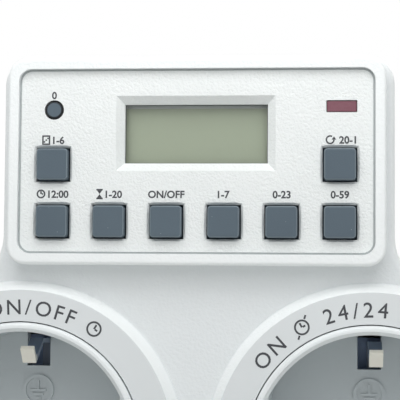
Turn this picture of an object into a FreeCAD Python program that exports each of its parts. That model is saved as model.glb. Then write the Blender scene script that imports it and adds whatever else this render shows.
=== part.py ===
"""Plug-in timer switch with two earthed sockets, in millimetres.

+Z is up, the face with the keys and sockets looks along -Y, and the plug points along +Y.
The origin is the centre of the plug's end face.
"""
import FreeCAD, Part
import math
import os

# Sizes of the key panel, read from the front of the object
KEY_PITCH = 10.0
KEY_COLUMNS = 6
PANEL_END = 5.7
PANEL_FOOT = 5.25
KEY_ROW_RISE = 9.95
PANEL_HEAD = 16.4
PANEL_CORNER_R = 1.9
PANEL_T = 2.0
PANEL_GAP = 0.35
LIP_W = 1.9
LIP_CORNER_R = 3.2
LIP_EDGE_R = 0.6
SIDE_STEP = 1.6
TOP_STEP = 0.9

# Keys
KEY_SIZE = 5.5
KEY_CORNER_R = 0.6
KEY_EDGE_R = 0.3
KEY_GAP = 0.22
KEY_BEVEL = 0.4
KEY_PROUD = 1.2
KEY_TRAVEL = 1.0
KEY_FLANGE = 0.55
KEY_FLANGE_T = 0.8
KEY_SEAT_GAP = 0.1
KEY_STOP_GAP = 0.3
PLUNGER_R = 1.6
ROUND_KEY_R = 1.5
ROUND_KEY_PROUD = 0.1
ROUND_KEY_X = 0.1 - (KEY_COLUMNS - 1) * KEY_PITCH / 2
ROUND_KEY_DROP = 6.8
DOME_WALL = 0.55
DOME_H = 1.2
MAT_T = 0.8

# Display
WINDOW_W = 25.0
WINDOW_H = 10.3
WINDOW_BEVEL = 1.4
WINDOW_BEVEL_DEPTH = 1.2
WINDOW_T = 1.0
WINDOW_MARGIN = 1.8
WINDOW_DROP = 10.93
LCD_W = 31.0
LCD_H = 16.6
LCD_T = 2.0
LCD_DROP = 0.27
LCD_GAP = 0.1
HOLDER_WALL = 1.0
ZEBRA_W = 1.6

# Indicator lamp
LAMP_X = 0.3 + (KEY_COLUMNS - 1) * KEY_PITCH / 2
LAMP_DROP = 6.3
LAMP_W = 5.1
LAMP_H = 1.9
LAMP_GAP = 0.11
LAMP_RECESS = 0.15
LAMP_LEAD_PITCH = 2.54
LAMP_STANDOFF = 0.7

# Socket cups and the raised rings around them
RECESS_R = 19.75
RECESS_DEPTH = 17.5
RECESS_FLAT_X = 17.6
FLAT_START = 1.2
CUP_WALL = 1.6
CUP_LIP_R = 0.7
CUP_FLOOR_T = 3.0
CUP_FLANGE_W = 2.0
CUP_FLANGE_T = 1.5
CUP_GAP = 0.2
ANNULUS_W = 5.45
RING_SLOPE = 1.7
RING_MARGIN = 1.8
SOCKET_GAP = 3.5
SOCKET_DROP = 14.0
HEAD_GAP = 2.78
PIN_HOLE_R = 2.75
PIN_HALF_PITCH = 9.5
EARTH_SLOT_W = 4.3
EARTH_SLOT_IN_R = 13.0
EARTH_SLOT_OUT_R = 20.6

# Housing shells
WALL = 2.2
HEAD_CORNER_R = 5.0
WAIST_R = 8.0
FRONT_EDGE_R = 1.5
BACK_EDGE_R = 3.0
REAR_DEPTH = 18.0
TONGUE_GAP = 0.15
TONGUE_T = 1.0
TONGUE_H = 2.0
LEDGE_W = 1.5

# Front levels, each measured from the socket rim
LIP_PROUD = 0.5
PANEL_BACK_FROM_RIM = 0.5
RING_BACK_FROM_RIM = 1.0
FRONT_BACK_FROM_RIM = 3.5

# Plug
PLUG_R = 19.0
PLUG_FLAT_X = 17.2
PLUG_LEN = 18.0
PLUG_WALL = 2.8
PLUG_END_T = 3.0
PLUG_EDGE_R = 1.0
PLUG_GAP = 0.15
PLUG_FLANGE_W = 1.5
PLUG_FLANGE_T = 1.5
PIN_R = 2.4
PIN_LEN = 19.0
PIN_TIP_R = 0.8
PIN_NECK_R = 2.2
PIN_RELIEF_GAP = 0.1
PIN_RELIEF_DEPTH = 0.6
STEM_R = 1.8
STEM_GAP = 0.05
STEM_FLANGE_R = 3.2
STEM_FLANGE_T = 1.5
PRONG_R = PLUG_R - 1.1
PRONG_W = 4.0
PRONG_END = 1.0
GROOVE_FLOOR_R = PLUG_R - 1.8
GROOVE_W = 5.2

# Current carrying parts behind the sockets
SHEET_T = 0.8
BAR_W = 4.0
BAR_CLEAR = 5.0
CONTACT_LEN = 12.0
CONTACT_R = 3.3
CONTACT_BORE_R = 2.6
CONTACT_SLIT = 1.0
CONTACT_ROOT = 2.0
LIVE_BAR_Z = 7.0
NEUTRAL_BAR_DROP = 10.0
RISER_BEND_RISE = 16.0
RISER_INSET = 4.35
CLIP_W = 2.4
CLIP_OFFSET = 0.85
CLIP_BACK_R = 17.5
CLIP_WALL_R = 17.9
CLIP_NOSE_R = 14.6
CLIP_TIP_R = 16.9
CLIP_TIP_DEPTH = 3.1
CLIP_NOSE_DEPTH = 5.2
CLIP_BEND_DEPTH = 11.5
EARTH_BAR_DROP = 16.5
EARTH_BAR_W = 3.0

# Safety shutters
SHUTTER_T = 1.6
SHUTTER_GAP = 0.3
SHUTTER_REACH = 13.2
SHUTTER_HALF_ANGLE = 19.0
SHUTTER_HUB_R = 3.0
PIVOT_R = 1.25
PIVOT_GAP = 0.08
SHUTTER_TO_CONTACT = 1.1
SPRING_R = 0.35
SPRING_GAP = 0.3
LUG_H = 1.4
LUG_W = 2.0
LUG_RISE = 7.0

# Screws
SCREW_R = 1.45
SCREW_HEAD_R = 2.8
SCREW_HEAD_T = 2.2
SCREW_GRIP = 10.0
SCREW_SINK = 6.0
PILOT_GAP = 0.02
SCREW_PASS_GAP = 0.3
FRONT_POST_R = 3.2
REAR_POST_R = 4.2
UPPER_POST_X = 19.0
UPPER_POST_Z = 15.0
LOWER_POST_RISE = 6.0
SMALL_SCREW_R = 0.9
SMALL_HEAD_R = 1.35
SMALL_HEAD_T = 1.2
SMALL_GRIP = 3.3
SLOT_W = 0.4
CROSS_W = 0.7
CROSS_REACH = 1.6
CROSS_DEPTH = 1.2
BOARD_POST_R = 1.7
BOARD_POST_RISE = 11.0
POWER_POST_R = 2.4
POWER_POST_INSET = 2.9
POWER_POST_RISE = 6.0

# Boards
BOARD_T = 1.6
DISPLAY_BOARD_GAP = 0.45
DISPLAY_BOARD_HALF_H = 15.2
DISPLAY_BOARD_DEPTH = 5.8
POWER_BOARD_GAP = 1.35
POWER_BOARD_RISE = 34.0
POWER_BOARD_H = 30.5
POWER_BOARD_STANDOFF = 2.3
LEAD_R = 0.3
LEAD_HOLE_R = 0.45
LEG_R = 0.25
LINK_PINS = 5
LINK_PITCH = 2.54
LINK_PIN_W = 0.64
LINK_BLOCK_T = 2.5

# Parts on the boards
RELAY_W = 28.6
RELAY_H = 12.7
RELAY_T = 15.7
RELAY_WALL = 0.8
RELAY_FIT = 0.1
RELAY_BASE_T = 1.2
COIL_R = 4.3
COIL_LEN = 14.0
CORE_R = 1.6
ARMATURE_T = 0.8
ARMATURE_GAP = 1.0
ARMATURE_FOOT = 1.2
YOKE_T = 0.9
YOKE_W = 8.0
YOKE_GAP = 1.0
PUSHER_W = 3.0
PUSHER_LEN = 1.6
BLADE_T = 0.3
CELL_R = 7.9
CELL_T = 5.4
CELL_TAB_T = 0.3
FILM_W = 18.0
FILM_H = 7.5
FILM_T = 13.0
CAN_R = 4.0
CAN_LEN = 12.0

# Places worked out from the sizes above
PANEL_W = (KEY_COLUMNS - 1) * KEY_PITCH + 2 * PANEL_END
PANEL_H = PANEL_FOOT + KEY_ROW_RISE + PANEL_HEAD
CUP_R = RECESS_R + CUP_WALL
CUP_BORE_R = CUP_R + CUP_GAP
RING_R = CUP_BORE_R + ANNULUS_W
RING_BASE_R = RING_R + RING_SLOPE
LOBE_R = RING_BASE_R + RING_MARGIN
SOCKET_X = RING_BASE_R + SOCKET_GAP / 2
SOCKET_Z = -SOCKET_DROP
HEAD_HALF = PANEL_W / 2 + PANEL_GAP + LIP_W + SIDE_STEP
LIP_BOTTOM_Z = SOCKET_Z + RING_BASE_R + HEAD_GAP
PANEL_Z = LIP_BOTTOM_Z + LIP_W + PANEL_GAP + PANEL_H / 2
PANEL_TOP_Z = PANEL_Z + PANEL_H / 2
TOP_Z = PANEL_TOP_Z + PANEL_GAP + LIP_W + TOP_STEP
BOTTOM_Z = SOCKET_Z - LOBE_R
LOW_ROW_Z = PANEL_Z - PANEL_H / 2 + PANEL_FOOT
HIGH_ROW_Z = LOW_ROW_Z + KEY_ROW_RISE
WINDOW_Z = PANEL_TOP_Z - WINDOW_DROP
LCD_Z = WINDOW_Z - LCD_DROP
LAMP_Z = PANEL_TOP_Z - LAMP_DROP
ROUND_KEY_Z = PANEL_TOP_Z - ROUND_KEY_DROP

# Depth levels, from the plug forwards to the face
BACK_Y = -PLUG_LEN
BACK_INNER_Y = BACK_Y - WALL
BAR_BACK_Y = BACK_INNER_Y - BAR_CLEAR
BAR_FRONT_Y = BAR_BACK_Y - SHEET_T
CONTACT_FRONT_Y = BAR_FRONT_Y - CONTACT_LEN
SHUTTER_BACK_Y = CONTACT_FRONT_Y - SHUTTER_TO_CONTACT
SHUTTER_FRONT_Y = SHUTTER_BACK_Y - SHUTTER_T
FLOOR_BACK_Y = SHUTTER_FRONT_Y - SHUTTER_GAP
FLOOR_Y = FLOOR_BACK_Y - CUP_FLOOR_T
RIM_Y = FLOOR_Y - RECESS_DEPTH
LIP_Y = RIM_Y - LIP_PROUD
PANEL_Y = RIM_Y + PANEL_BACK_FROM_RIM
RING_Y = RIM_Y + RING_BACK_FROM_RIM
FRONT_Y = RIM_Y + FRONT_BACK_FROM_RIM
FRONT_INNER_Y = FRONT_Y + WALL
PANEL_BACK_Y = PANEL_Y + PANEL_T
PARTING_Y = BACK_Y - REAR_DEPTH
DISPLAY_Y = PANEL_BACK_Y + DISPLAY_BOARD_DEPTH
POWER_BACK_Y = BACK_INNER_Y - POWER_BOARD_STANDOFF
POWER_Y = POWER_BACK_Y - BOARD_T
POWER_HALF = HEAD_HALF - WALL - POWER_BOARD_GAP
POWER_BOTTOM_Z = SOCKET_Z + POWER_BOARD_RISE
POWER_TOP_Z = POWER_BOTTOM_Z + POWER_BOARD_H
EARTH_Y = CONTACT_FRONT_Y - SHEET_T / 4

OVER = 0.1
SOCKETS = {"left": -SOCKET_X, "right": SOCKET_X}
KEY_X = [(i - (KEY_COLUMNS - 1) / 2) * KEY_PITCH for i in range(KEY_COLUMNS)]
SQUARE_KEYS = {
    "key_clock": (KEY_X[0], LOW_ROW_Z),
    "key_timer": (KEY_X[1], LOW_ROW_Z),
    "key_mode": (KEY_X[2], LOW_ROW_Z),
    "key_week": (KEY_X[3], LOW_ROW_Z),
    "key_hour": (KEY_X[4], LOW_ROW_Z),
    "key_minute": (KEY_X[5], LOW_ROW_Z),
    "key_random": (KEY_X[0], HIGH_ROW_Z),
    "key_recall": (KEY_X[5], HIGH_ROW_Z),
}
POSTS = [(-UPPER_POST_X, UPPER_POST_Z), (UPPER_POST_X, UPPER_POST_Z), (0.0, BOTTOM_Z + LOWER_POST_RISE)]
LEDGE_HALF = PANEL_W / 2 - LEDGE_W
BOARD_POSTS = [
    (side * (LEDGE_HALF + BOARD_POST_R), PANEL_Z + rise * BOARD_POST_RISE)
    for side in (-1, 1)
    for rise in (-1, 1)
]
POWER_POSTS = [
    (side * (POWER_HALF - POWER_POST_INSET), z)
    for side in (-1, 1)
    for z in (POWER_BOTTOM_Z + POWER_POST_RISE, POWER_TOP_Z - POWER_POST_INSET)
]
RELAY_X = -POWER_HALF + 2 * POWER_POST_INSET + RELAY_W / 2 + 0.8
RELAY_Z = POWER_BOTTOM_Z + RELAY_H / 2 + 3.2
LINK_Z = POWER_TOP_Z - 3.0


def vec(x, y, z):
    return FreeCAD.Vector(x, y, z)


def box(x0, x1, y0, y1, z0, z1):
    return Part.makeBox(x1 - x0, y1 - y0, z1 - z0, vec(x0, y0, z0))


def rod(x, z, r, y0, y1):
    """A cylinder along Y."""
    return Part.makeCylinder(r, y1 - y0, vec(x, y0, z), vec(0, 1, 0))


def cone(x, z, r0, r1, y0, y1):
    """A cone along Y, with radius r0 at y0 and r1 at y1."""
    return Part.makeCone(r0, r1, y1 - y0, vec(x, y0, z), vec(0, 1, 0))


def rounded_wire(w, h, r, y, cx, cz):
    """A rounded rectangle in the plane at depth y."""
    edges = []
    corners = [(1, 1, 0), (-1, 1, 90), (-1, -1, 180), (1, -1, 270)]
    ends = []
    for sx, sz, start in corners:
        ox = cx + sx * (w / 2 - r)
        oz = cz + sz * (h / 2 - r)
        angles = [math.radians(start + step) for step in (0, 45, 90)]
        ends.append([vec(ox + r * math.cos(a), y, oz + r * math.sin(a)) for a in angles])
    for i, points in enumerate(ends):
        edges.append(Part.Arc(*points).toShape())
        following = ends[(i + 1) % len(ends)]
        edges.append(Part.makeLine(points[2], following[0]))
    return Part.Wire(edges)


def slab(w, h, r, y0, y1, cx, cz):
    return Part.Face(rounded_wire(w, h, r, y0, cx, cz)).extrude(vec(0, y1 - y0, 0))


def funnel(w, h, r, bevel, y0, y1, cx, cz):
    """A rounded rectangle that narrows by the bevel on each side from y0 to y1."""
    mouth = rounded_wire(w + 2 * bevel, h + 2 * bevel, r + bevel, y0, cx, cz)
    throat = rounded_wire(w, h, r, y1, cx, cz)
    return Part.makeLoft([mouth, throat], True, True)


def body_outline(inset, y):
    """The outer line of the housing: a head, a waist and one round lobe about each socket."""
    half = HEAD_HALF - inset
    top = TOP_Z - inset
    corner = HEAD_CORNER_R - inset
    lobe = LOBE_R - inset
    waist = WAIST_R + inset
    waist_x = HEAD_HALF + WAIST_R
    waist_z = SOCKET_Z + math.sqrt((LOBE_R + WAIST_R) ** 2 - (waist_x - SOCKET_X) ** 2)
    turn = math.atan2(waist_z - SOCKET_Z, waist_x - SOCKET_X)

    def on_arc(cx, cz, r, angle, side):
        return vec(side * (cx + r * math.cos(angle)), y, cz + r * math.sin(angle))

    edges = [Part.makeLine(vec(corner - half, y, top), vec(half - corner, y, top))]
    for side in (1, -1):
        arcs = [
            (half - corner, top - corner, corner, math.pi / 2, 0.0),
            (waist_x, waist_z, waist, math.pi, math.pi + turn),
            (SOCKET_X, SOCKET_Z, lobe, turn, -math.pi / 2),
        ]
        for cx, cz, r, start, end in arcs:
            points = [on_arc(cx, cz, r, a, side) for a in (start, (start + end) / 2, end)]
            edges.append(Part.Arc(*points).toShape())
        edges.append(Part.makeLine(vec(side * half, y, top - corner), vec(side * half, y, waist_z)))
    low = SOCKET_Z - lobe
    edges.append(Part.makeLine(vec(SOCKET_X, y, low), vec(-SOCKET_X, y, low)))
    return Part.Wire(Part.__sortEdges__(edges))


def body_prism(inset, y0, y1):
    return Part.Face(body_outline(inset, y0)).extrude(vec(0, y1 - y0, 0))


def edges_at(shape, y):
    """The edges that lie wholly at depth y."""
    found = []
    for edge in shape.Edges:
        bounds = edge.BoundBox
        if abs(bounds.YMin - y) < 1e-4 and abs(bounds.YMax - y) < 1e-4:
            found.append(edge)
    return found


def rounded_at(shape, y, r):
    return shape.makeFillet(r, edges_at(shape, y))


def ribbon(points, thickness, x0, x1):
    """Sheet metal bent along points in the Y, Z plane, between x0 and x1."""
    half = thickness / 2
    directions = []
    for (ya, za), (yb, zb) in zip(points, points[1:]):
        length = math.hypot(yb - ya, zb - za)
        directions.append(((yb - ya) / length, (zb - za) / length))
    sides = ([], [])
    for i, (y, z) in enumerate(points):
        before = directions[max(i - 1, 0)]
        after = directions[min(i, len(directions) - 1)]
        ny = -(before[1] + after[1])
        nz = before[0] + after[0]
        scale = 2 * half / (ny * ny + nz * nz)
        for side, sign in zip(sides, (1, -1)):
            side.append(vec(x0, y + sign * ny * scale, z + sign * nz * scale))
    loop = sides[0] + sides[1][::-1]
    loop.append(loop[0])
    return Part.Face(Part.makePolygon(loop)).extrude(vec(x1 - x0, 0, 0))


def joined(*shapes):
    result = shapes[0].fuse(list(shapes[1:]))
    return result.removeSplitter()


def save(name, shape):
    solids = shape.Solids
    volume = sum(s.Volume for s in solids)
    print(f"{name}: {len(solids)} solid(s), {volume:.1f} mm3, valid {shape.isValid()}")
    shape.exportStep(f"parts/{name}.step")


def make_front_housing():
    shell = rounded_at(body_prism(0.0, FRONT_Y, PARTING_Y), FRONT_Y, FRONT_EDGE_R)
    lip_w = PANEL_W + 2 * (PANEL_GAP + LIP_W)
    lip_h = PANEL_H + 2 * (PANEL_GAP + LIP_W)
    lip = slab(lip_w, lip_h, LIP_CORNER_R, LIP_Y, FRONT_Y + WALL / 2, 0.0, PANEL_Z)
    rings = [
        cone(x, SOCKET_Z, RING_R, RING_BASE_R, RING_Y, FRONT_Y)
        for x in SOCKETS.values()
    ]
    shell = joined(shell, rounded_at(lip, LIP_Y, LIP_EDGE_R), *rings)
    shell = shell.cut(body_prism(WALL, FRONT_INNER_Y, PARTING_Y + OVER))
    pocket_w = PANEL_W + 2 * PANEL_GAP
    pocket_h = PANEL_H + 2 * PANEL_GAP
    ledge_h = PANEL_H - 2 * LEDGE_W
    cuts = [
        slab(pocket_w, pocket_h, PANEL_CORNER_R + PANEL_GAP, LIP_Y - OVER, PANEL_BACK_Y, 0.0, PANEL_Z),
        slab(2 * LEDGE_HALF, ledge_h, PANEL_CORNER_R, LIP_Y, FRONT_INNER_Y + OVER, 0.0, PANEL_Z),
    ]
    cuts += [rod(x, SOCKET_Z, CUP_BORE_R, RIM_Y, FRONT_INNER_Y + OVER) for x in SOCKETS.values()]
    shell = shell.cut(cuts)
    posts = [rod(x, z, FRONT_POST_R, FRONT_INNER_Y - OVER, PARTING_Y) for x, z in POSTS]
    posts += [rod(x, z, BOARD_POST_R, FRONT_INNER_Y - OVER, DISPLAY_Y) for x, z in BOARD_POSTS]
    shell = joined(shell, *posts)
    pilots = [
        rod(x, z, SCREW_R + PILOT_GAP, PARTING_Y - SCREW_GRIP - OVER, PARTING_Y + OVER)
        for x, z in POSTS
    ]
    pilots += [
        rod(x, z, SMALL_SCREW_R + PILOT_GAP, DISPLAY_Y - SMALL_GRIP - OVER, DISPLAY_Y + OVER)
        for x, z in BOARD_POSTS
    ]
    return shell.cut(pilots)


def plug_prism(r, flat_x, y0, y1):
    return rod(0.0, 0.0, r, y0, y1).common(box(-flat_x, flat_x, y0, y1, -r, r))


def make_rear_housing():
    shell = rounded_at(body_prism(0.0, PARTING_Y, BACK_Y), BACK_Y, BACK_EDGE_R)
    inner_edge = BACK_EDGE_R - WALL
    cavity = rounded_at(body_prism(WALL, PARTING_Y - OVER, BACK_INNER_Y), BACK_INNER_Y, inner_edge)
    plug_hole = plug_prism(PLUG_R + PLUG_GAP, PLUG_FLAT_X + PLUG_GAP, BACK_INNER_Y - OVER, BACK_Y + OVER)
    shell = shell.cut([cavity, plug_hole])
    root_y = PARTING_Y + 2 * TONGUE_H
    tongue = body_prism(WALL + TONGUE_GAP, PARTING_Y - TONGUE_H, root_y).cut(
        body_prism(WALL + TONGUE_GAP + TONGUE_T, PARTING_Y - TONGUE_H - OVER, root_y + OVER)
    )
    root = body_prism(WALL - OVER, PARTING_Y + TONGUE_H, root_y).cut(
        body_prism(WALL + TONGUE_GAP + TONGUE_T, PARTING_Y + TONGUE_H - OVER, root_y + OVER)
    )
    posts = [rod(x, z, REAR_POST_R, PARTING_Y, BACK_Y - OVER) for x, z in POSTS]
    posts += [rod(x, z, POWER_POST_R, POWER_BACK_Y, BACK_INNER_Y + OVER) for x, z in POWER_POSTS]
    notch = rod(POSTS[2][0], POSTS[2][1], REAR_POST_R, PARTING_Y - TONGUE_H - OVER, PARTING_Y)
    shell = joined(shell, tongue.cut(notch), root, *posts)
    cuts = []
    for x, z in POSTS:
        cuts.append(rod(x, z, SCREW_R + SCREW_PASS_GAP, PARTING_Y - OVER, BACK_Y + OVER))
        cuts.append(rod(x, z, SCREW_HEAD_R + SCREW_PASS_GAP, BACK_Y - SCREW_SINK, BACK_Y + OVER))
    grip_end = POWER_BACK_Y + SMALL_GRIP + OVER
    for x, z in POWER_POSTS:
        cuts.append(rod(x, z, SMALL_SCREW_R + PILOT_GAP, POWER_BACK_Y - OVER, grip_end))
    return shell.cut(cuts)


def make_plug_body():
    """The plug's moulded body, clamped in the back wall by a flange on the inside."""
    inner_y = BACK_INNER_Y - PLUG_FLANGE_T
    body = rounded_at(plug_prism(PLUG_R, PLUG_FLAT_X, inner_y, 0.0), 0.0, PLUG_EDGE_R)
    body = joined(body, rod(0.0, 0.0, PLUG_R + PLUG_FLANGE_W, inner_y, BACK_INNER_Y))
    cuts = [plug_prism(PLUG_R - PLUG_WALL, PLUG_FLAT_X - PLUG_WALL, inner_y - OVER, -PLUG_END_T)]
    cuts += [rod(x, z, REAR_POST_R + CUP_GAP, inner_y - OVER, BACK_INNER_Y + OVER) for x, z in POSTS]
    for x in (-PIN_HALF_PITCH, PIN_HALF_PITCH):
        cuts.append(rod(x, 0.0, STEM_R + STEM_GAP, -PLUG_END_T - OVER, OVER))
        cuts.append(rod(x, 0.0, PIN_R + PIN_RELIEF_GAP, -PIN_RELIEF_DEPTH, OVER))
    slot_half = PRONG_W / 2 + SCREW_PASS_GAP
    slot_top = PRONG_R + SHEET_T / 2 + SCREW_PASS_GAP
    for side in (-1, 1):
        low, high = sorted((side * GROOVE_FLOOR_R, side * (PLUG_R + OVER)))
        cuts.append(box(-GROOVE_W / 2, GROOVE_W / 2, BACK_INNER_Y, OVER, low, high))
        low, high = sorted((side * GROOVE_FLOOR_R, side * slot_top))
        cuts.append(box(-slot_half, slot_half, inner_y - OVER, BACK_INNER_Y + OVER, low, high))
    return body.cut(cuts)


def make_control_panel():
    plate = slab(PANEL_W, PANEL_H, PANEL_CORNER_R, PANEL_Y, PANEL_BACK_Y, 0.0, PANEL_Z)
    hole = KEY_SIZE + 2 * KEY_GAP
    cuts = []
    for x, z in SQUARE_KEYS.values():
        cuts.append(slab(hole, hole, KEY_CORNER_R, PANEL_Y - OVER, PANEL_BACK_Y + OVER, x, z))
        cuts.append(funnel(hole, hole, KEY_CORNER_R, KEY_BEVEL, PANEL_Y, PANEL_Y + KEY_BEVEL, x, z))
    cuts.append(rod(ROUND_KEY_X, ROUND_KEY_Z, ROUND_KEY_R + KEY_GAP, PANEL_Y - OVER, PANEL_BACK_Y + OVER))
    cuts.append(slab(WINDOW_W, WINDOW_H, 0.3, PANEL_Y - OVER, PANEL_BACK_Y + OVER, 0.0, WINDOW_Z))
    bevel_y = PANEL_Y + WINDOW_BEVEL_DEPTH
    cuts.append(funnel(WINDOW_W, WINDOW_H, 0.3, WINDOW_BEVEL, PANEL_Y, bevel_y, 0.0, WINDOW_Z))
    lamp_w = LAMP_W + 2 * LAMP_GAP
    lamp_h = LAMP_H + 2 * LAMP_GAP
    cuts.append(slab(lamp_w, lamp_h, 0.2, PANEL_Y - OVER, PANEL_BACK_Y + OVER, LAMP_X, LAMP_Z))
    return plate.cut(cuts)


def make_square_key(x, z):
    cap = slab(KEY_SIZE, KEY_SIZE, KEY_CORNER_R, PANEL_Y - KEY_PROUD, PANEL_BACK_Y + KEY_SEAT_GAP, x, z)
    cap = rounded_at(cap, PANEL_Y - KEY_PROUD, KEY_EDGE_R)
    flange_y = PANEL_BACK_Y + KEY_SEAT_GAP
    wide = KEY_SIZE + 2 * KEY_FLANGE
    flange = slab(wide, wide, KEY_CORNER_R, flange_y, flange_y + KEY_FLANGE_T, x, z)
    plunger = rod(x, z, PLUNGER_R, flange_y, DISPLAY_Y - MAT_T - KEY_STOP_GAP - KEY_TRAVEL)
    return joined(cap, flange, plunger)


def make_round_key():
    x, z = ROUND_KEY_X, ROUND_KEY_Z
    flange_y = PANEL_BACK_Y + KEY_SEAT_GAP
    front_y = PANEL_Y - ROUND_KEY_PROUD
    cap = rounded_at(rod(x, z, ROUND_KEY_R, front_y, flange_y), front_y, KEY_EDGE_R)
    flange = rod(x, z, ROUND_KEY_R + KEY_FLANGE, flange_y, flange_y + KEY_FLANGE_T)
    plunger = rod(x, z, ROUND_KEY_R - KEY_EDGE_R, flange_y, DISPLAY_Y - MAT_T - KEY_STOP_GAP - KEY_TRAVEL)
    return joined(cap, flange, plunger)


def make_keypad_mat():
    """One rubber sheet on the board, with a collar around each plunger."""
    y0, y1 = DISPLAY_Y - MAT_T, DISPLAY_Y
    half_pad = KEY_SIZE / 2 + KEY_FLANGE + 0.5
    low_z = LOW_ROW_Z - half_pad
    left_x, right_x = KEY_X[0], KEY_X[-1]
    pieces = [
        box(left_x - half_pad, right_x + half_pad, y0, y1, low_z, LOW_ROW_Z + half_pad),
        box(left_x - half_pad, left_x + half_pad, y0, y1, low_z, ROUND_KEY_Z + half_pad),
        box(right_x - half_pad, right_x + half_pad, y0, y1, low_z, HIGH_ROW_Z + half_pad),
    ]
    spots = [(x, z, PLUNGER_R) for x, z in SQUARE_KEYS.values()]
    spots.append((ROUND_KEY_X, ROUND_KEY_Z, ROUND_KEY_R - KEY_EDGE_R))
    wells = []
    for x, z, r in spots:
        bore = r + KEY_STOP_GAP
        pieces.append(cone(x, z, bore + DOME_WALL, bore + 2 * DOME_WALL, y0 - DOME_H, y0))
        wells.append(rod(x, z, bore, y0 - DOME_H - OVER, y0))
    return joined(*pieces).cut(wells)


def make_display_window():
    w = WINDOW_W + 2 * WINDOW_MARGIN
    h = WINDOW_H + 2 * WINDOW_MARGIN
    return slab(w, h, 0.5, PANEL_BACK_Y, PANEL_BACK_Y + WINDOW_T, 0.0, WINDOW_Z)


def make_lcd_cell():
    y0 = PANEL_BACK_Y + WINDOW_T + LCD_GAP
    return box(-LCD_W / 2, LCD_W / 2, y0, y0 + LCD_T, LCD_Z - LCD_H / 2, LCD_Z + LCD_H / 2)


def make_lcd_holder():
    y0 = PANEL_BACK_Y + WINDOW_T + LCD_GAP
    inner_w = LCD_W + 2 * LCD_GAP
    inner_h = LCD_H + 2 * LCD_GAP
    frame = slab(inner_w + 2 * HOLDER_WALL, inner_h + 2 * HOLDER_WALL, 0.6, y0, DISPLAY_Y, 0.0, LCD_Z)
    return frame.cut(
        box(-inner_w / 2, inner_w / 2, y0 - OVER, DISPLAY_Y + OVER, LCD_Z - inner_h / 2, LCD_Z + inner_h / 2)
    )


def make_zebra_strips():
    y0 = PANEL_BACK_Y + WINDOW_T + LCD_GAP + LCD_T
    half = LCD_W / 2 - 1.5
    strips = []
    for side in (-1, 1):
        z = LCD_Z + side * (LCD_H / 2 - ZEBRA_W)
        strips.append(box(-half, half, y0, DISPLAY_Y, z - ZEBRA_W / 2, z + ZEBRA_W / 2))
    return Part.makeCompound(strips)


def link_pin_places():
    return [(i - (LINK_PINS - 1) / 2) * LINK_PITCH for i in range(LINK_PINS)]


def make_display_board():
    half_w = HEAD_HALF - WALL - DISPLAY_BOARD_GAP
    board = slab(2 * half_w, 2 * DISPLAY_BOARD_HALF_H, 1.0, DISPLAY_Y, DISPLAY_Y + BOARD_T, 0.0, PANEL_Z)
    holes = [(x, z, SMALL_SCREW_R + SCREW_PASS_GAP) for x, z in BOARD_POSTS]
    holes += [(x, LINK_Z, LINK_PIN_W) for x in link_pin_places()]
    holes += [(LAMP_X + side * LAMP_LEAD_PITCH / 2, LAMP_Z, LEAD_HOLE_R) for side in (-1, 1)]
    return board.cut([rod(x, z, r, DISPLAY_Y - OVER, DISPLAY_Y + BOARD_T + OVER) for x, z, r in holes])


def make_indicator_lamp():
    y0 = PANEL_Y + LAMP_RECESS
    body = slab(LAMP_W, LAMP_H, 0.2, y0, DISPLAY_Y - LAMP_STANDOFF, LAMP_X, LAMP_Z)
    leads = [
        rod(LAMP_X + side * LAMP_LEAD_PITCH / 2, LAMP_Z, LEAD_R, DISPLAY_Y - LAMP_STANDOFF - OVER,
            DISPLAY_Y + BOARD_T + 1.0)
        for side in (-1, 1)
    ]
    return joined(body, *leads)


def make_small_screw(x, z, seat_y, forwards):
    """A board screw whose head lies on seat_y. Its shank points to the face when forwards is 1."""
    def span(a, b):
        return sorted((seat_y - forwards * a, seat_y - forwards * b))
    head = rod(x, z, SMALL_HEAD_R, *span(-SMALL_HEAD_T, 0.0))
    shank = rod(x, z, SMALL_SCREW_R, *span(-OVER, BOARD_T + SMALL_GRIP))
    depth = span(-SMALL_HEAD_T - OVER, -SMALL_HEAD_T / 2)
    half = SLOT_W / 2
    slot = box(x - SMALL_HEAD_R, x + SMALL_HEAD_R, *depth, z - half, z + half)
    return joined(head, shank).cut(slot)


def make_small_screws(places, seat_y, forwards):
    return Part.makeCompound([make_small_screw(x, z, seat_y, forwards) for x, z in places])


def make_housing_screws():
    screws = []
    for x, z in POSTS:
        seat = BACK_Y - SCREW_SINK
        head = rounded_at(rod(x, z, SCREW_HEAD_R, seat, seat + SCREW_HEAD_T), seat + SCREW_HEAD_T, 0.5)
        shank = rod(x, z, SCREW_R, PARTING_Y - SCREW_GRIP, seat + OVER)
        half = CROSS_W / 2
        y0, y1 = seat + SCREW_HEAD_T - CROSS_DEPTH, seat + SCREW_HEAD_T + OVER
        cross = joined(
            box(x - CROSS_REACH, x + CROSS_REACH, y0, y1, z - half, z + half),
            box(x - half, x + half, y0, y1, z - CROSS_REACH, z + CROSS_REACH),
        )
        screws.append(joined(head, shank).cut(cross))
    return Part.makeCompound(screws)


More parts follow.
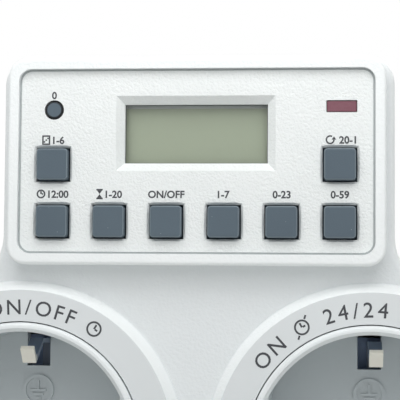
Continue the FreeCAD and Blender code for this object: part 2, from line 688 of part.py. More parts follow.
def make_socket_cup(cx):
    """A round cup with side flats, an earth slot at top and bottom and two pin holes in its floor."""
    z = SOCKET_Z
    tube = rounded_at(rod(cx, z, CUP_R, RIM_Y, FLOOR_BACK_Y), RIM_Y, CUP_LIP_R)
    flange_y = FRONT_INNER_Y
    flange = rod(cx, z, CUP_BORE_R + CUP_FLANGE_W, flange_y, flange_y + CUP_FLANGE_T)
    pivot = rod(cx, z, PIVOT_R, FLOOR_BACK_Y - OVER, SHUTTER_BACK_Y + 0.2)
    lugs = []
    for side in (-1, 1):
        low, high = sorted((z + side * LUG_RISE, z + side * (LUG_RISE + LUG_H)))
        x = cx + side * PIN_HALF_PITCH
        lugs.append(box(x - LUG_W / 2, x + LUG_W / 2, FLOOR_BACK_Y - OVER, SHUTTER_BACK_Y, low, high))
    cup = joined(tube, flange, pivot, *lugs)
    round_recess = rod(cx, z, RECESS_R, RIM_Y - OVER, RIM_Y + FLAT_START)
    flat_recess = rod(cx, z, RECESS_R, RIM_Y, FLOOR_Y).common(
        box(cx - RECESS_FLAT_X, cx + RECESS_FLAT_X, RIM_Y, FLOOR_Y, z - RECESS_R, z + RECESS_R)
    )
    mouth = cone(cx, z, RECESS_R + CUP_LIP_R, RECESS_R, RIM_Y - OVER, RIM_Y + CUP_LIP_R)
    cuts = [round_recess, flat_recess, mouth]
    for side in (-1, 1):
        low, high = sorted((z + side * EARTH_SLOT_IN_R, z + side * EARTH_SLOT_OUT_R))
        half = EARTH_SLOT_W / 2
        cuts.append(box(cx - half, cx + half, RIM_Y + FLAT_START, FLOOR_BACK_Y + OVER, low, high))
        cuts.append(rod(cx + side * PIN_HALF_PITCH, z, PIN_HOLE_R, FLOOR_Y - OVER, FLOOR_BACK_Y + OVER))
    return cup.cut(cuts)


def make_shutter(cx):
    """A turning plate whose two wings cover the pin holes."""
    z = SOCKET_Z
    hub = rod(cx, z, SHUTTER_HUB_R, SHUTTER_FRONT_Y, SHUTTER_BACK_Y)
    half = math.radians(SHUTTER_HALF_ANGLE)
    wings = []
    for facing in (0.0, math.pi):
        rim = []
        for angle in (facing - half, facing, facing + half):
            x = cx + SHUTTER_REACH * math.cos(angle)
            rim.append(vec(x, SHUTTER_FRONT_Y, z + SHUTTER_REACH * math.sin(angle)))
        centre = vec(cx, SHUTTER_FRONT_Y, z)
        sides = [Part.makeLine(centre, rim[0]), Part.Arc(*rim).toShape(), Part.makeLine(rim[2], centre)]
        wire = Part.Wire(sides)
        wings.append(Part.Face(wire).extrude(vec(0, SHUTTER_T, 0)))
    bore = rod(cx, z, PIVOT_R + PIVOT_GAP, SHUTTER_FRONT_Y - OVER, SHUTTER_BACK_Y + OVER)
    return joined(hub, *wings).cut(bore)


def make_shutter_springs(cx):
    """Two straight springs that pull the wings back over the holes."""
    y = (SHUTTER_FRONT_Y + SHUTTER_BACK_Y) / 2
    wing_edge = PIN_HALF_PITCH * math.tan(math.radians(SHUTTER_HALF_ANGLE))
    springs = []
    for side in (-1, 1):
        start = vec(cx + side * PIN_HALF_PITCH, y, SOCKET_Z + side * LUG_RISE)
        length = LUG_RISE - wing_edge - SPRING_GAP - SPRING_R
        springs.append(Part.makeCylinder(SPRING_R, length, start, vec(0, 0, -side)))
    return Part.makeCompound(springs)


def make_earth_clips(cx):
    """One strip that runs behind the floor and up both earth slots, with a nose at each end."""
    y_back = EARTH_Y
    reach = [
        (RIM_Y + CLIP_TIP_DEPTH, CLIP_TIP_R),
        (RIM_Y + CLIP_NOSE_DEPTH, CLIP_NOSE_R),
        (RIM_Y + CLIP_BEND_DEPTH, CLIP_WALL_R),
        (y_back, CLIP_BACK_R),
    ]
    points = [(y, SOCKET_Z - r) for y, r in reach] + [(y, SOCKET_Z + r) for y, r in reach[::-1]]
    x0 = cx + CLIP_OFFSET - CLIP_W / 2
    return ribbon(points, SHEET_T, x0, x0 + CLIP_W)


def make_pin_contact(x):
    tube = rod(x, SOCKET_Z, CONTACT_R, CONTACT_FRONT_Y, BAR_FRONT_Y)
    tube = tube.cut(rod(x, SOCKET_Z, CONTACT_BORE_R, CONTACT_FRONT_Y - OVER, BAR_FRONT_Y + OVER))
    slit = CONTACT_SLIT / 2
    y0, y1 = CONTACT_FRONT_Y - OVER, BAR_FRONT_Y - CONTACT_ROOT
    return tube.cut(box(x - slit, x + slit, y0, y1, SOCKET_Z, SOCKET_Z + CONTACT_R))


def bar_strip(x0, x1, z0, z1):
    half = BAR_W / 2
    left, right = sorted((x0, x1))
    low, high = sorted((z0, z1))
    return box(left - half, right + half, BAR_FRONT_Y, BAR_BACK_Y, low - half, high + half)


def riser_x():
    return POWER_HALF - RISER_INSET


def board_tab(x):
    z = POWER_BOTTOM_Z + 1.0
    return box(x - BAR_W / 2, x + BAR_W / 2, BAR_FRONT_Y, POWER_Y, z, z + SHEET_T)


def make_live_bar():
    """Joins the live pin, the always-on socket and the relay."""
    x_out = SOCKET_X - PIN_HALF_PITCH
    return joined(
        bar_strip(-PIN_HALF_PITCH, -PIN_HALF_PITCH, 0.0, POWER_BOTTOM_Z),
        bar_strip(-PIN_HALF_PITCH, x_out, LIVE_BAR_Z, LIVE_BAR_Z),
        bar_strip(x_out, x_out, SOCKET_Z, LIVE_BAR_Z),
        board_tab(-PIN_HALF_PITCH),
    )


def make_neutral_bar():
    """Joins the neutral pin, both sockets and the power board."""
    low_z = SOCKET_Z - NEUTRAL_BAR_DROP
    x_in = -SOCKET_X + PIN_HALF_PITCH
    x_out = SOCKET_X + PIN_HALF_PITCH
    bend_z = SOCKET_Z + RISER_BEND_RISE
    return joined(
        bar_strip(x_in, x_out, low_z, low_z),
        bar_strip(x_in, x_in, low_z, SOCKET_Z),
        bar_strip(PIN_HALF_PITCH, PIN_HALF_PITCH, low_z, 0.0),
        bar_strip(x_out, x_out, low_z, bend_z),
        bar_strip(riser_x(), x_out, bend_z, bend_z),
        bar_strip(riser_x(), riser_x(), bend_z, POWER_BOTTOM_Z),
        board_tab(riser_x()),
    )


def make_switched_bar():
    """Joins the relay to the timed socket."""
    x_out = -SOCKET_X - PIN_HALF_PITCH
    bend_z = SOCKET_Z + RISER_BEND_RISE
    return joined(
        bar_strip(x_out, x_out, SOCKET_Z, bend_z),
        bar_strip(x_out, -riser_x(), bend_z, bend_z),
        bar_strip(-riser_x(), -riser_x(), bend_z, POWER_BOTTOM_Z),
        board_tab(-riser_x()),
    )


def make_earth_bar():
    z = SOCKET_Z - EARTH_BAR_DROP
    y0 = EARTH_Y + SHEET_T / 2
    end = SOCKET_X + CLIP_OFFSET + CLIP_W / 2
    return box(-end, end, y0, y0 + SHEET_T, z - EARTH_BAR_W / 2, z + EARTH_BAR_W / 2)


def make_plug_earth_contacts():
    """A U of sheet metal with a prong above and below the plug, and a foot on the earth bar."""
    y = EARTH_Y + 2 * SHEET_T
    half = PRONG_W / 2
    points = [(-PRONG_END, PRONG_R), (y, PRONG_R), (y, -PRONG_R), (-PRONG_END, -PRONG_R)]
    loop = ribbon(points, SHEET_T, -half, half)
    foot_z = SOCKET_Z - EARTH_BAR_DROP - EARTH_BAR_W / 2
    return joined(loop, box(-half, half, y - SHEET_T / 2, y + SHEET_T / 2, foot_z, -PRONG_R))


def make_plug_pin(x):
    """The contact pin, whose neck sits in a shallow relief so that nothing overhangs the plug's end face."""
    pin = rounded_at(rod(x, 0.0, PIN_R, 0.0, PIN_LEN), PIN_LEN, PIN_TIP_R)
    neck = rod(x, 0.0, PIN_NECK_R, -PIN_RELIEF_DEPTH, OVER)
    stem = rod(x, 0.0, STEM_R, BAR_BACK_Y, -PIN_RELIEF_DEPTH + OVER)
    flange = rod(x, 0.0, STEM_FLANGE_R, -PLUG_END_T - STEM_FLANGE_T, -PLUG_END_T)
    return joined(pin, neck, stem, flange)


def make_power_board():
    board = box(-POWER_HALF, POWER_HALF, POWER_Y, POWER_BACK_Y, POWER_BOTTOM_Z, POWER_TOP_Z)
    holes = [(x, z, SMALL_SCREW_R + SCREW_PASS_GAP) for x, z in POWER_POSTS]
    holes += [(x, LINK_Z, LINK_PIN_W) for x in link_pin_places()]
    return board.cut([rod(x, z, r, POWER_Y - OVER, POWER_BACK_Y + OVER) for x, z, r in holes])


def make_board_link():
    half = LINK_PINS * LINK_PITCH / 2
    rise = LINK_PITCH / 2
    block = box(-half, half, POWER_Y - LINK_BLOCK_T, POWER_Y, LINK_Z - rise, LINK_Z + rise)
    w = LINK_PIN_W / 2
    pins = [
        box(x - w, x + w, DISPLAY_Y + 0.3, POWER_BACK_Y + 0.8, LINK_Z - w, LINK_Z + w)
        for x in link_pin_places()
    ]
    return joined(block, *pins)


def relay_box(w, h, y0, y1):
    return box(RELAY_X - w / 2, RELAY_X + w / 2, y0, y1, RELAY_Z - h / 2, RELAY_Z + h / 2)


RELAY_FRONT_Y = POWER_Y - RELAY_T
RELAY_BASE_Y = POWER_Y - RELAY_BASE_T
RELAY_INNER_W = RELAY_W - 2 * RELAY_WALL
RELAY_INNER_H = RELAY_H - 2 * RELAY_WALL
COIL_X0 = RELAY_X - RELAY_INNER_W / 2 + 2.2
COIL_Y = RELAY_BASE_Y - COIL_R - YOKE_GAP
CORE_END_X = COIL_X0 + COIL_LEN + 0.4
ARMATURE_X = CORE_END_X + ARMATURE_GAP
YOKE_Y = COIL_Y - COIL_R - YOKE_GAP


def make_relay_base():
    return relay_box(RELAY_INNER_W - 2 * RELAY_FIT, RELAY_INNER_H - 2 * RELAY_FIT, RELAY_BASE_Y, POWER_Y)


def make_relay_cover():
    outer = relay_box(RELAY_W, RELAY_H, RELAY_FRONT_Y, POWER_Y)
    return outer.cut(relay_box(RELAY_INNER_W, RELAY_INNER_H, RELAY_FRONT_Y + RELAY_WALL, POWER_Y + OVER))


def rod_x(x0, x1, r, y, z):
    """A cylinder along X."""
    return Part.makeCylinder(r, x1 - x0, vec(x0, y, z), vec(1, 0, 0))


def make_relay_coil():
    """Bobbin with its winding. The two cheeks stand on the base."""
    winding = rod_x(COIL_X0, COIL_X0 + COIL_LEN, COIL_R, COIL_Y, RELAY_Z)
    cheeks = []
    for x in (COIL_X0, COIL_X0 + COIL_LEN - 0.8):
        cheeks.append(box(x, x + 0.8, COIL_Y - COIL_R - 0.4, RELAY_BASE_Y, RELAY_Z - 4.8, RELAY_Z + 4.8))
    bore = rod_x(COIL_X0 - OVER, COIL_X0 + COIL_LEN + OVER, CORE_R + 0.05, COIL_Y, RELAY_Z)
    return joined(winding, *cheeks).cut(bore)


def make_relay_yoke():
    """Iron core through the coil, with the leg and the arm that carry the flux to the armature."""
    x0 = COIL_X0 - YOKE_T - SPRING_GAP
    half = YOKE_W / 2
    y0 = YOKE_Y - YOKE_T
    core = rod_x(x0, CORE_END_X, CORE_R, COIL_Y, RELAY_Z)
    leg = box(x0, x0 + YOKE_T, y0, RELAY_BASE_Y, RELAY_Z - half, RELAY_Z + half)
    arm = box(x0, ARMATURE_X - SPRING_GAP, y0, YOKE_Y, RELAY_Z - half, RELAY_Z + half)
    return joined(core, leg, arm)


def make_relay_armature():
    """Hinged plate at the end of the arm, with the pusher for the contact blade."""
    back = ARMATURE_X + ARMATURE_T
    half = YOKE_W / 2
    y0, y1 = YOKE_Y - YOKE_T, RELAY_BASE_Y - ARMATURE_FOOT
    plate = box(ARMATURE_X, back, y0, y1, RELAY_Z - half, RELAY_Z + half)
    reach = PUSHER_W / 2
    end = back + PUSHER_LEN
    pusher = box(back - OVER, end, COIL_Y, COIL_Y + PUSHER_LEN, RELAY_Z - reach, RELAY_Z + reach)
    return joined(plate, pusher)


def make_relay_contacts():
    """The moving and the fixed contact blade, each with its rivet."""
    blades = []
    x = ARMATURE_X + ARMATURE_T + 1.6 + SPRING_GAP
    for blade_x, rivet in ((x, 0.9), (x + 2.2, -0.6)):
        blade = box(blade_x, blade_x + BLADE_T, YOKE_Y, RELAY_BASE_Y, RELAY_Z - 2.0, RELAY_Z + 2.0)
        start, end = sorted((blade_x + BLADE_T / 2, blade_x + BLADE_T / 2 + rivet))
        blades.append(joined(blade, rod_x(start, end, 1.2, COIL_Y - 2.5, RELAY_Z)))
    return Part.makeCompound(blades)


def make_film_capacitor():
    x0 = RELAY_X + RELAY_W / 2 + 2.2
    z0 = POWER_BOTTOM_Z + 3.2
    return rounded_at(box(x0, x0 + FILM_W, POWER_Y - FILM_T, POWER_Y, z0, z0 + FILM_H), POWER_Y - FILM_T, 0.5)


def make_electrolytic_capacitors():
    cans = []
    for x in (-2 * CAN_R - 11.5, -11.5):
        can = rod(x, RELAY_Z + RELAY_H / 2 + CAN_R + 2.2, CAN_R, POWER_Y - CAN_LEN, POWER_Y)
        cans.append(rounded_at(can, POWER_Y - CAN_LEN, 0.6))
    return Part.makeCompound(cans)


def make_varistor():
    x, z, y = 11.5, RELAY_Z + 10.2, POWER_Y - 6.0
    disc = rod_x(x - 1.8, x + 1.8, 4.8, y, z)
    legs = [rod(x, z + side * 2.5, LEAD_R, y, POWER_Y) for side in (-1, 1)]
    return joined(disc, *legs)


def make_axial(x, z, r, length):
    """A small part with wire ends, standing just off the board and lying along Z."""
    y = POWER_Y - r - 0.3
    reach = length / 2 + 1.4
    body = Part.makeCylinder(r, length, vec(x, y, z - length / 2), vec(0, 0, 1))
    wire = Part.makeCylinder(LEAD_R, 2 * reach, vec(x, y, z - reach), vec(0, 0, 1))
    legs = [rod(x, z + side * (reach - 2 * LEAD_R), LEG_R, y, POWER_Y) for side in (-1, 1)]
    return joined(body, wire, *legs)


def make_diodes():
    return Part.makeCompound([make_axial(17.0 + 3.4 * i, RELAY_Z + 13.4, 1.3, 4.6) for i in range(3)])


def make_resistors():
    return Part.makeCompound([make_axial(17.0 + 3.4 * i, RELAY_Z + 5.4, 1.0, 3.8) for i in range(3)])


def make_transistor():
    x, z = 1.5, RELAY_Z + 10.4
    can = rod(x, z, 2.3, POWER_Y - 6.6, POWER_Y - 2.0).common(
        box(x - 3, x + 3, POWER_Y - 7, POWER_Y, z - 1.2, z + 3)
    )
    legs = [rod(x + 1.27 * i, z + 0.4, LEAD_R, POWER_Y - 2.1, POWER_Y) for i in (-1, 0, 1)]
    return joined(can, *legs)


def make_controller_chip():
    y0 = DISPLAY_Y + BOARD_T
    return rounded_at(rod(6.0, PANEL_Z + 1.5, 5.6, y0, y0 + 1.4), y0 + 1.4, 1.0)


def make_clock_crystal():
    y = DISPLAY_Y + BOARD_T + 1.05
    return rod_x(14.5, 20.5, 1.0, y, PANEL_Z + 4.0)


CELL_X = -16.0
CELL_Y = DISPLAY_Y + BOARD_T + CELL_TAB_T


def make_backup_cell():
    cell = rod(CELL_X, PANEL_Z - 2.0, CELL_R, CELL_Y, CELL_Y + CELL_T)
    return rounded_at(cell, CELL_Y + CELL_T, 0.8)


def make_cell_tabs():
    """One tab under the cell and one over it, the second with a leg down to the board."""
    z = PANEL_Z - 2.0
    under = box(CELL_X - 2.0, CELL_X + 2.0, CELL_Y - CELL_TAB_T, CELL_Y, z - CELL_R - 1.5, z + 4.0)
    top_y = CELL_Y + CELL_T
    over = box(CELL_X - 2.0, CELL_X + 2.0, top_y, top_y + CELL_TAB_T, z - 4.0, z + CELL_R + 1.0)
    leg_z = z + CELL_R + 1.0
    leg = box(CELL_X - 2.0, CELL_X + 2.0, CELL_Y - CELL_TAB_T, top_y + CELL_TAB_T, leg_z - CELL_TAB_T, leg_z)
    return Part.makeCompound([under, joined(over, leg)])


def build():
    os.makedirs("parts", exist_ok=True)
    save("front_housing", make_front_housing())
    save("rear_housing", make_rear_housing())
    save("plug_body", make_plug_body())
    save("housing_screws", make_housing_screws())
    save("control_panel", make_control_panel())
    for name, (x, z) in SQUARE_KEYS.items():
        save(name, make_square_key(x, z))
    save("key_master_reset", make_round_key())
    save("keypad_mat", make_keypad_mat())
    save("display_window", make_display_window())
    save("lcd_cell", make_lcd_cell())
    save("lcd_holder", make_lcd_holder())
    save("zebra_strips", make_zebra_strips())
    save("indicator_lamp", make_indicator_lamp())
    save("display_board", make_display_board())
    back_of_board = DISPLAY_Y + BOARD_T
    save("display_board_screws", make_small_screws(BOARD_POSTS, back_of_board, 1))
    save("controller_chip", make_controller_chip())
    save("clock_crystal", make_clock_crystal())
    save("backup_cell", make_backup_cell())
    save("cell_tabs", make_cell_tabs())
    save("board_link", make_board_link())
    save("power_board", make_power_board())
    save("power_board_screws", make_small_screws(POWER_POSTS, POWER_Y, -1))
    save("relay_base", make_relay_base())
    save("relay_cover", make_relay_cover())
    save("relay_coil", make_relay_coil())
    save("relay_yoke", make_relay_yoke())
    save("relay_armature", make_relay_armature())
    save("relay_contacts", make_relay_contacts())
    save("film_capacitor", make_film_capacitor())
    save("electrolytic_capacitors", make_electrolytic_capacitors())
    save("varistor", make_varistor())
    save("diodes", make_diodes())
    save("resistors", make_resistors())
    save("driver_transistor", make_transistor())
    for side, x in SOCKETS.items():
        save(f"socket_cup_{side}", make_socket_cup(x))
        save(f"shutter_{side}", make_shutter(x))
        save(f"shutter_springs_{side}", make_shutter_springs(x))
        save(f"earth_clips_{side}", make_earth_clips(x))
        for number, step in (("1", -PIN_HALF_PITCH), ("2", PIN_HALF_PITCH)):
            save(f"pin_contact_{side}_{number}", make_pin_contact(x + step))
    save("live_bar", make_live_bar())
    save("neutral_bar", make_neutral_bar())
    save("switched_bar", make_switched_bar())
    save("earth_bar", make_earth_bar())
    save("plug_earth_contacts", make_plug_earth_contacts())
    save("plug_pin_live", make_plug_pin(-PIN_HALF_PITCH))
    save("plug_pin_neutral", make_plug_pin(PIN_HALF_PITCH))


build()
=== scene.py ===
# %% [markdown]
# # A plug-in timer switch
# The object is a pale plastic housing with a key panel at the top and two recessed mains sockets below it.
# Its construction comes ready made as a fixed frame in metres, with +Z up and the face looking along -Y.
# This script gives each piece its finish and adds what is printed, moulded or wound too finely for the frame.

# %% Load the frame
import math
import bpy
import bmesh
from mathutils import Matrix, Vector


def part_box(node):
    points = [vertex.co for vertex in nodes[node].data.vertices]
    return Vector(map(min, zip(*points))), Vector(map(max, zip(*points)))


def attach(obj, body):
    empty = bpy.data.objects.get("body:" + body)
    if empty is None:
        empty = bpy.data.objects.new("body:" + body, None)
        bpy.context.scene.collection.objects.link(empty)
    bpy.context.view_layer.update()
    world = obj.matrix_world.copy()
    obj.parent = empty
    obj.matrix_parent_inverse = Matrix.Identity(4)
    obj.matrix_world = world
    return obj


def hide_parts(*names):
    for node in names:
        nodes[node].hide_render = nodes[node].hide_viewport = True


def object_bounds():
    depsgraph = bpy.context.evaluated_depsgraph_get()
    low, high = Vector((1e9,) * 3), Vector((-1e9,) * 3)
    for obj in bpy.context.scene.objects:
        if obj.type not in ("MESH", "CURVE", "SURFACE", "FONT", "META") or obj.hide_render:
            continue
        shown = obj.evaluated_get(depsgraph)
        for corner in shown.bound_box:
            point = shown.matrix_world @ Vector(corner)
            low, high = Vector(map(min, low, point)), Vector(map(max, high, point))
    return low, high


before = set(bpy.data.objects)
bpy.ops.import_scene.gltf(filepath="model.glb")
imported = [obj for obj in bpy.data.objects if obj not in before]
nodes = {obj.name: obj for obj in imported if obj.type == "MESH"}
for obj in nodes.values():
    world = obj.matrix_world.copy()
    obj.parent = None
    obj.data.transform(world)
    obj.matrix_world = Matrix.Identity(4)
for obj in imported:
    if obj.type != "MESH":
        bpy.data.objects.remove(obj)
cad_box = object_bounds()
MM = 0.001
print("frame box in mm", [[round(v / MM, 1) for v in corner] for corner in cad_box])

# %% [markdown]
# ## Reading sizes from the frame
# On the real object the marks, finishes and small fittings follow the mouldings that carry them. So these
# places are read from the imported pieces, or are a named step back from the sockets' rim.

# %% Places taken from the frame
RING_BEHIND_RIM = 1.0 * MM
FRONT_BEHIND_RIM = 3.5 * MM
RECESS_DEPTH = 17.5 * MM


def middle(node):
    low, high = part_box(node)
    return (low + high) / 2


panel_low, panel_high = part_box("control_panel")
PANEL_Y = panel_low.y
PANEL_MID = middle("control_panel")
CUPS = {side: middle(f"socket_cup_{side}") for side in ("left", "right")}
RIM_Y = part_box("socket_cup_left")[0].y
RING_Y = RIM_Y + RING_BEHIND_RIM
FRONT_Y = RIM_Y + FRONT_BEHIND_RIM
FLOOR_Y = RIM_Y + RECESS_DEPTH
print("panel middle in mm", [round(v / MM, 2) for v in PANEL_MID])

# %% [markdown]
# ## The camera
# The photograph was taken a little from the right and a little from below. Its place comes from fitting a
# pinhole camera to the panel's corners, keys and windows: 250 mm away, 5.2 degrees to the side.
# The lens follows from the fitted focal length of 1444 pixels across a 400 pixel picture on a 36 mm sensor.

# %% Camera at the photograph's angle
PICTURE_PX = 400
FOCAL_PX = 1444.1
SENSOR_MM = 36.0
VIEW_YAW = math.radians(5.22)
VIEW_PITCH = math.radians(-3.55)
VIEW_ROLL = math.radians(0.45)
VIEW_DISTANCE = 250 * MM
NEAREST_SEEN = 10 * MM
AIM_RIGHT = 0.89 * MM
AIM_BELOW_PANEL = 6.76 * MM
AIM = Vector((AIM_RIGHT, PANEL_Y, PANEL_MID.z - AIM_BELOW_PANEL))

back = Vector((math.sin(VIEW_YAW) * math.cos(VIEW_PITCH),
               -math.cos(VIEW_YAW) * math.cos(VIEW_PITCH),
               math.sin(VIEW_PITCH)))
right = Vector((math.cos(VIEW_YAW), math.sin(VIEW_YAW), 0))
up = right.cross(-back)
up = up if up.z > 0 else -up
rolled_right = math.cos(VIEW_ROLL) * right + math.sin(VIEW_ROLL) * up
rolled_up = math.cos(VIEW_ROLL) * up - math.sin(VIEW_ROLL) * right

camera_data = bpy.data.cameras.new("camera")
camera_data.sensor_fit = "HORIZONTAL"
camera_data.sensor_width = SENSOR_MM
camera_data.lens = FOCAL_PX / PICTURE_PX * SENSOR_MM
camera_data.clip_start = NEAREST_SEEN
camera = bpy.data.objects.new("camera", camera_data)
turn = Matrix((rolled_right, rolled_up, back)).transposed().to_4x4()
camera.matrix_world = Matrix.Translation(AIM + back * VIEW_DISTANCE) @ turn
bpy.context.scene.collection.objects.link(camera)
bpy.context.scene.camera = camera
print("lens", round(camera_data.lens, 2), "mm")

# %% [markdown]
# ## Building node trees
# Every finish is a tree of shader nodes. These helpers add a node with its inputs filled by values or links,
# so that a tree reads as a short list of what feeds what. Places come from Object coordinates, which stay
# with the piece when its body moves.

# %% Helpers for node trees
def put(tree, kind, inputs=None, **settings):
    """Adds a node, sets its properties, and fills its inputs with values or links."""
    node = tree.nodes.new(kind)
    for name, value in settings.items():
        setattr(node, name, value)
    for name, value in (inputs or {}).items():
        if isinstance(value, bpy.types.NodeSocket):
            tree.links.new(value, node.inputs[name])
        else:
            node.inputs[name].default_value = value
    return node


def calc(tree, operation, first, second=None, **settings):
    """The result of a math node on one or two values or links."""
    values = {0: first} if second is None else {0: first, 1: second}
    return put(tree, "ShaderNodeMath", values, operation=operation, **settings).outputs[0]


def ramp(tree, value, low, high, first=0.0, last=1.0, **settings):
    """Maps low..high to first..last, and stays level beyond them."""
    span = {"Value": value, "From Min": low, "From Max": high, "To Min": first, "To Max": last}
    return put(tree, "ShaderNodeMapRange", span, **settings).outputs[0]


def place_of(tree):
    return put(tree, "ShaderNodeTexCoord").outputs["Object"]


def parts_of(tree, vector):
    return put(tree, "ShaderNodeSeparateXYZ", {"Vector": vector}).outputs


def distance_from(tree, centre, axes):
    """How far a point lies from a centre, along the axes marked with 1."""
    away = put(tree, "ShaderNodeVectorMath", {0: place_of(tree), 1: centre}, operation="SUBTRACT")
    flat = put(tree, "ShaderNodeVectorMath", {0: away.outputs[0], 1: axes}, operation="MULTIPLY")
    return put(tree, "ShaderNodeVectorMath", {0: flat.outputs[0]}, operation="LENGTH").outputs["Value"]


def seen_directly(tree):
    """1 for what is seen straight, through clear plastic or in a reflection, and 0 for other light."""
    rays = put(tree, "ShaderNodeLightPath").outputs
    through = calc(tree, "MAXIMUM", rays["Is Camera Ray"], rays["Is Transmission Ray"])
    return calc(tree, "MAXIMUM", through, rays["Is Glossy Ray"])


print("helpers for shader trees ready")

# %% [markdown]
# ## Floor, backdrop and light
# The photograph has a plain white ground and one soft light from above and in front. It stands near the
# object, so the head is brighter than the sockets. More light would wash out pale plastic, so the white comes
# only from what is seen of the world, and the lamps stay at a plain level.

# %% Floor, world and lamps
bpy.context.scene.view_settings.view_transform = "Standard"
WHITE = (1, 1, 1, 1)
AMBIENT = 0.335
AMBIENT_COLOUR = (0.96, 0.98, 1.0, 1)
LAMPS = (("softbox", (0.0, -0.205, 0.172), (0.30, 0.22), 0.265),
         ("head_strip", (0.0, -0.13, 0.13), (0.20, 0.06), 0.068),
         ("rear_softbox", (0.15, 0.45, 0.35), (0.5, 0.5), 1.7))
FLOOR_HALF = 1.5
FLOOR_GAP = 0.2 * MM


def make_world():
    world = bpy.data.worlds.new("studio")
    bpy.context.scene.world = world
    world.use_nodes = True
    tree = world.node_tree
    tree.nodes.clear()
    ambient = put(tree, "ShaderNodeBackground", {"Color": AMBIENT_COLOUR, "Strength": AMBIENT})
    white = put(tree, "ShaderNodeBackground", {"Color": WHITE})
    mixed = {0: seen_directly(tree), 1: ambient.outputs[0], 2: white.outputs[0]}
    put(tree, "ShaderNodeOutputWorld", {0: put(tree, "ShaderNodeMixShader", mixed).outputs[0]})


def make_lamp(name, place, size, watts):
    data = bpy.data.lights.new(name, "AREA")
    data.shape = "RECTANGLE"
    data.size, data.size_y = size
    data.energy = watts
    lamp = bpy.data.objects.new(name, data)
    lamp.location = place
    lamp.rotation_euler = (PANEL_MID - Vector(place)).to_track_quat("-Z", "Y").to_euler()
    lamp.visible_camera = False
    bpy.context.scene.collection.objects.link(lamp)


make_world()
for lamp_facts in LAMPS:
    make_lamp(*lamp_facts)
signs = ((-1, -1), (1, -1), (1, 1), (-1, 1))
floor_z = cad_box[0].z - FLOOR_GAP
corners = [(sx * FLOOR_HALF, sy * FLOOR_HALF, floor_z) for sx, sy in signs]
floor_mesh = bpy.data.meshes.new("floor")
floor_mesh.from_pydata(corners, [], [(0, 1, 2, 3)])
floor = bpy.data.objects.new("floor", floor_mesh)
bpy.context.scene.collection.objects.link(floor)
print("lamps", [name for name, *_ in LAMPS], "floor at", round(floor_z / MM, 1), "mm")

# %% [markdown]
# ## Shared shader groups
# Three effects turn up on many finishes. They could be copied into each material, but one node group with
# named inputs keeps them alike. `moulded_skin` is the fine pitted skin that spark-eroded moulds leave on
# plastic, `specks` are stray grains of dust, and `worn_edges` finds corners by comparing the surface with a
# slightly rounded version of itself.

# %% Skin, specks and edges
MOTTLE_PER_METRE = 90.0


def new_group(name, inputs, outputs):
    tree = bpy.data.node_groups.new(name, "ShaderNodeTree")
    for label, default in inputs:
        socket = tree.interface.new_socket(label, in_out="INPUT", socket_type="NodeSocketFloat")
        socket.default_value = default
    for label in outputs:
        tree.interface.new_socket(label, in_out="OUTPUT", socket_type="NodeSocketFloat")
    return tree, tree.nodes.new("NodeGroupInput").outputs, tree.nodes.new("NodeGroupOutput").inputs


def make_moulded_skin():
    """Height in 0..1, and a slow mottle in 0..1."""
    inputs = [("Grains per metre", 2600.0), ("Detail", 3.0)]
    tree, given, result = new_group("moulded_skin", inputs, ["Height", "Mottle"])
    place = place_of(tree)
    fine = {"Vector": place, "Scale": given[0], "Detail": given[1], "Roughness": 0.6}
    slow = {"Vector": place, "Scale": MOTTLE_PER_METRE, "Detail": 4.0}
    for index, noise in enumerate((fine, slow)):
        tree.links.new(put(tree, "ShaderNodeTexNoise", noise).outputs["Fac"], result[index])
    return tree


def make_specks():
    """A mask of small round grains, with most of the cells left empty."""
    inputs = [("Cells per metre", 700.0), ("Size", 0.12), ("Share", 0.2)]
    tree, given, result = new_group("specks", inputs, ["Mask"])
    cells = put(tree, "ShaderNodeTexVoronoi", {"Vector": place_of(tree), "Scale": given[0]}).outputs
    draw = put(tree, "ShaderNodeSeparateColor", {"Color": cells["Color"]}).outputs[0]
    near = calc(tree, "LESS_THAN", cells["Distance"], given[1])
    chosen = calc(tree, "LESS_THAN", draw, given[2])
    tree.links.new(calc(tree, "MULTIPLY", near, chosen), result[0])
    return tree


def make_worn_edges():
    """Near 1 on an edge and 0 on a flat or gently curved face."""
    tree, given, result = new_group("worn_edges", [("Radius", 0.0003), ("Gain", 6.0)], ["Mask"])
    soft = put(tree, "ShaderNodeBevel", {"Radius": given[0]}, samples=4).outputs[0]
    true = put(tree, "ShaderNodeNewGeometry").outputs["Normal"]
    alike = put(tree, "ShaderNodeVectorMath", {0: soft, 1: true}, operation="DOT_PRODUCT").outputs["Value"]
    apart = calc(tree, "SUBTRACT", 1.0, alike)
    tree.links.new(calc(tree, "MULTIPLY", apart, given[1], use_clamp=True), result[0])
    return tree


SKIN = make_moulded_skin()
SPECKS = make_specks()
EDGES = make_worn_edges()
print("shared groups", SKIN.name, SPECKS.name, EDGES.name)

# %% [markdown]
# ## Finishes
# Colours are written as the eye sees them, 0 to 255, and turned into linear light here. One maker covers the
# moulded, rubber and metal finishes: a base colour, a slow mottle towards a second one, lighter edges, a few
# dust specks and a pitted skin, each with its own amounts. What differs by place is laid over it afterwards.

# %% A finish maker
ROUGH_SPREAD = 0.04


def linear(colour):
    """A colour of 0 to 255 as linear light."""
    shares = [c / 255 for c in colour]
    return tuple(s / 12.92 if s <= 0.04045 else ((s + 0.055) / 1.055) ** 2.4 for s in shares) + (1.0,)


def group_node(tree, group, **values):
    node = tree.nodes.new("ShaderNodeGroup")
    node.node_tree = group
    for name, value in values.items():
        node.inputs[name.replace("_", " ")].default_value = value
    return node.outputs


def blend_colour(tree, amount, first, second):
    """A colour between two, each a value or a link."""
    node = put(tree, "ShaderNodeMix", {0: amount}, data_type="RGBA")
    for index, colour in ((6, first), (7, second)):
        if isinstance(colour, bpy.types.NodeSocket):
            tree.links.new(colour, node.inputs[index])
        else:
            node.inputs[index].default_value = colour
    return node.outputs[2]


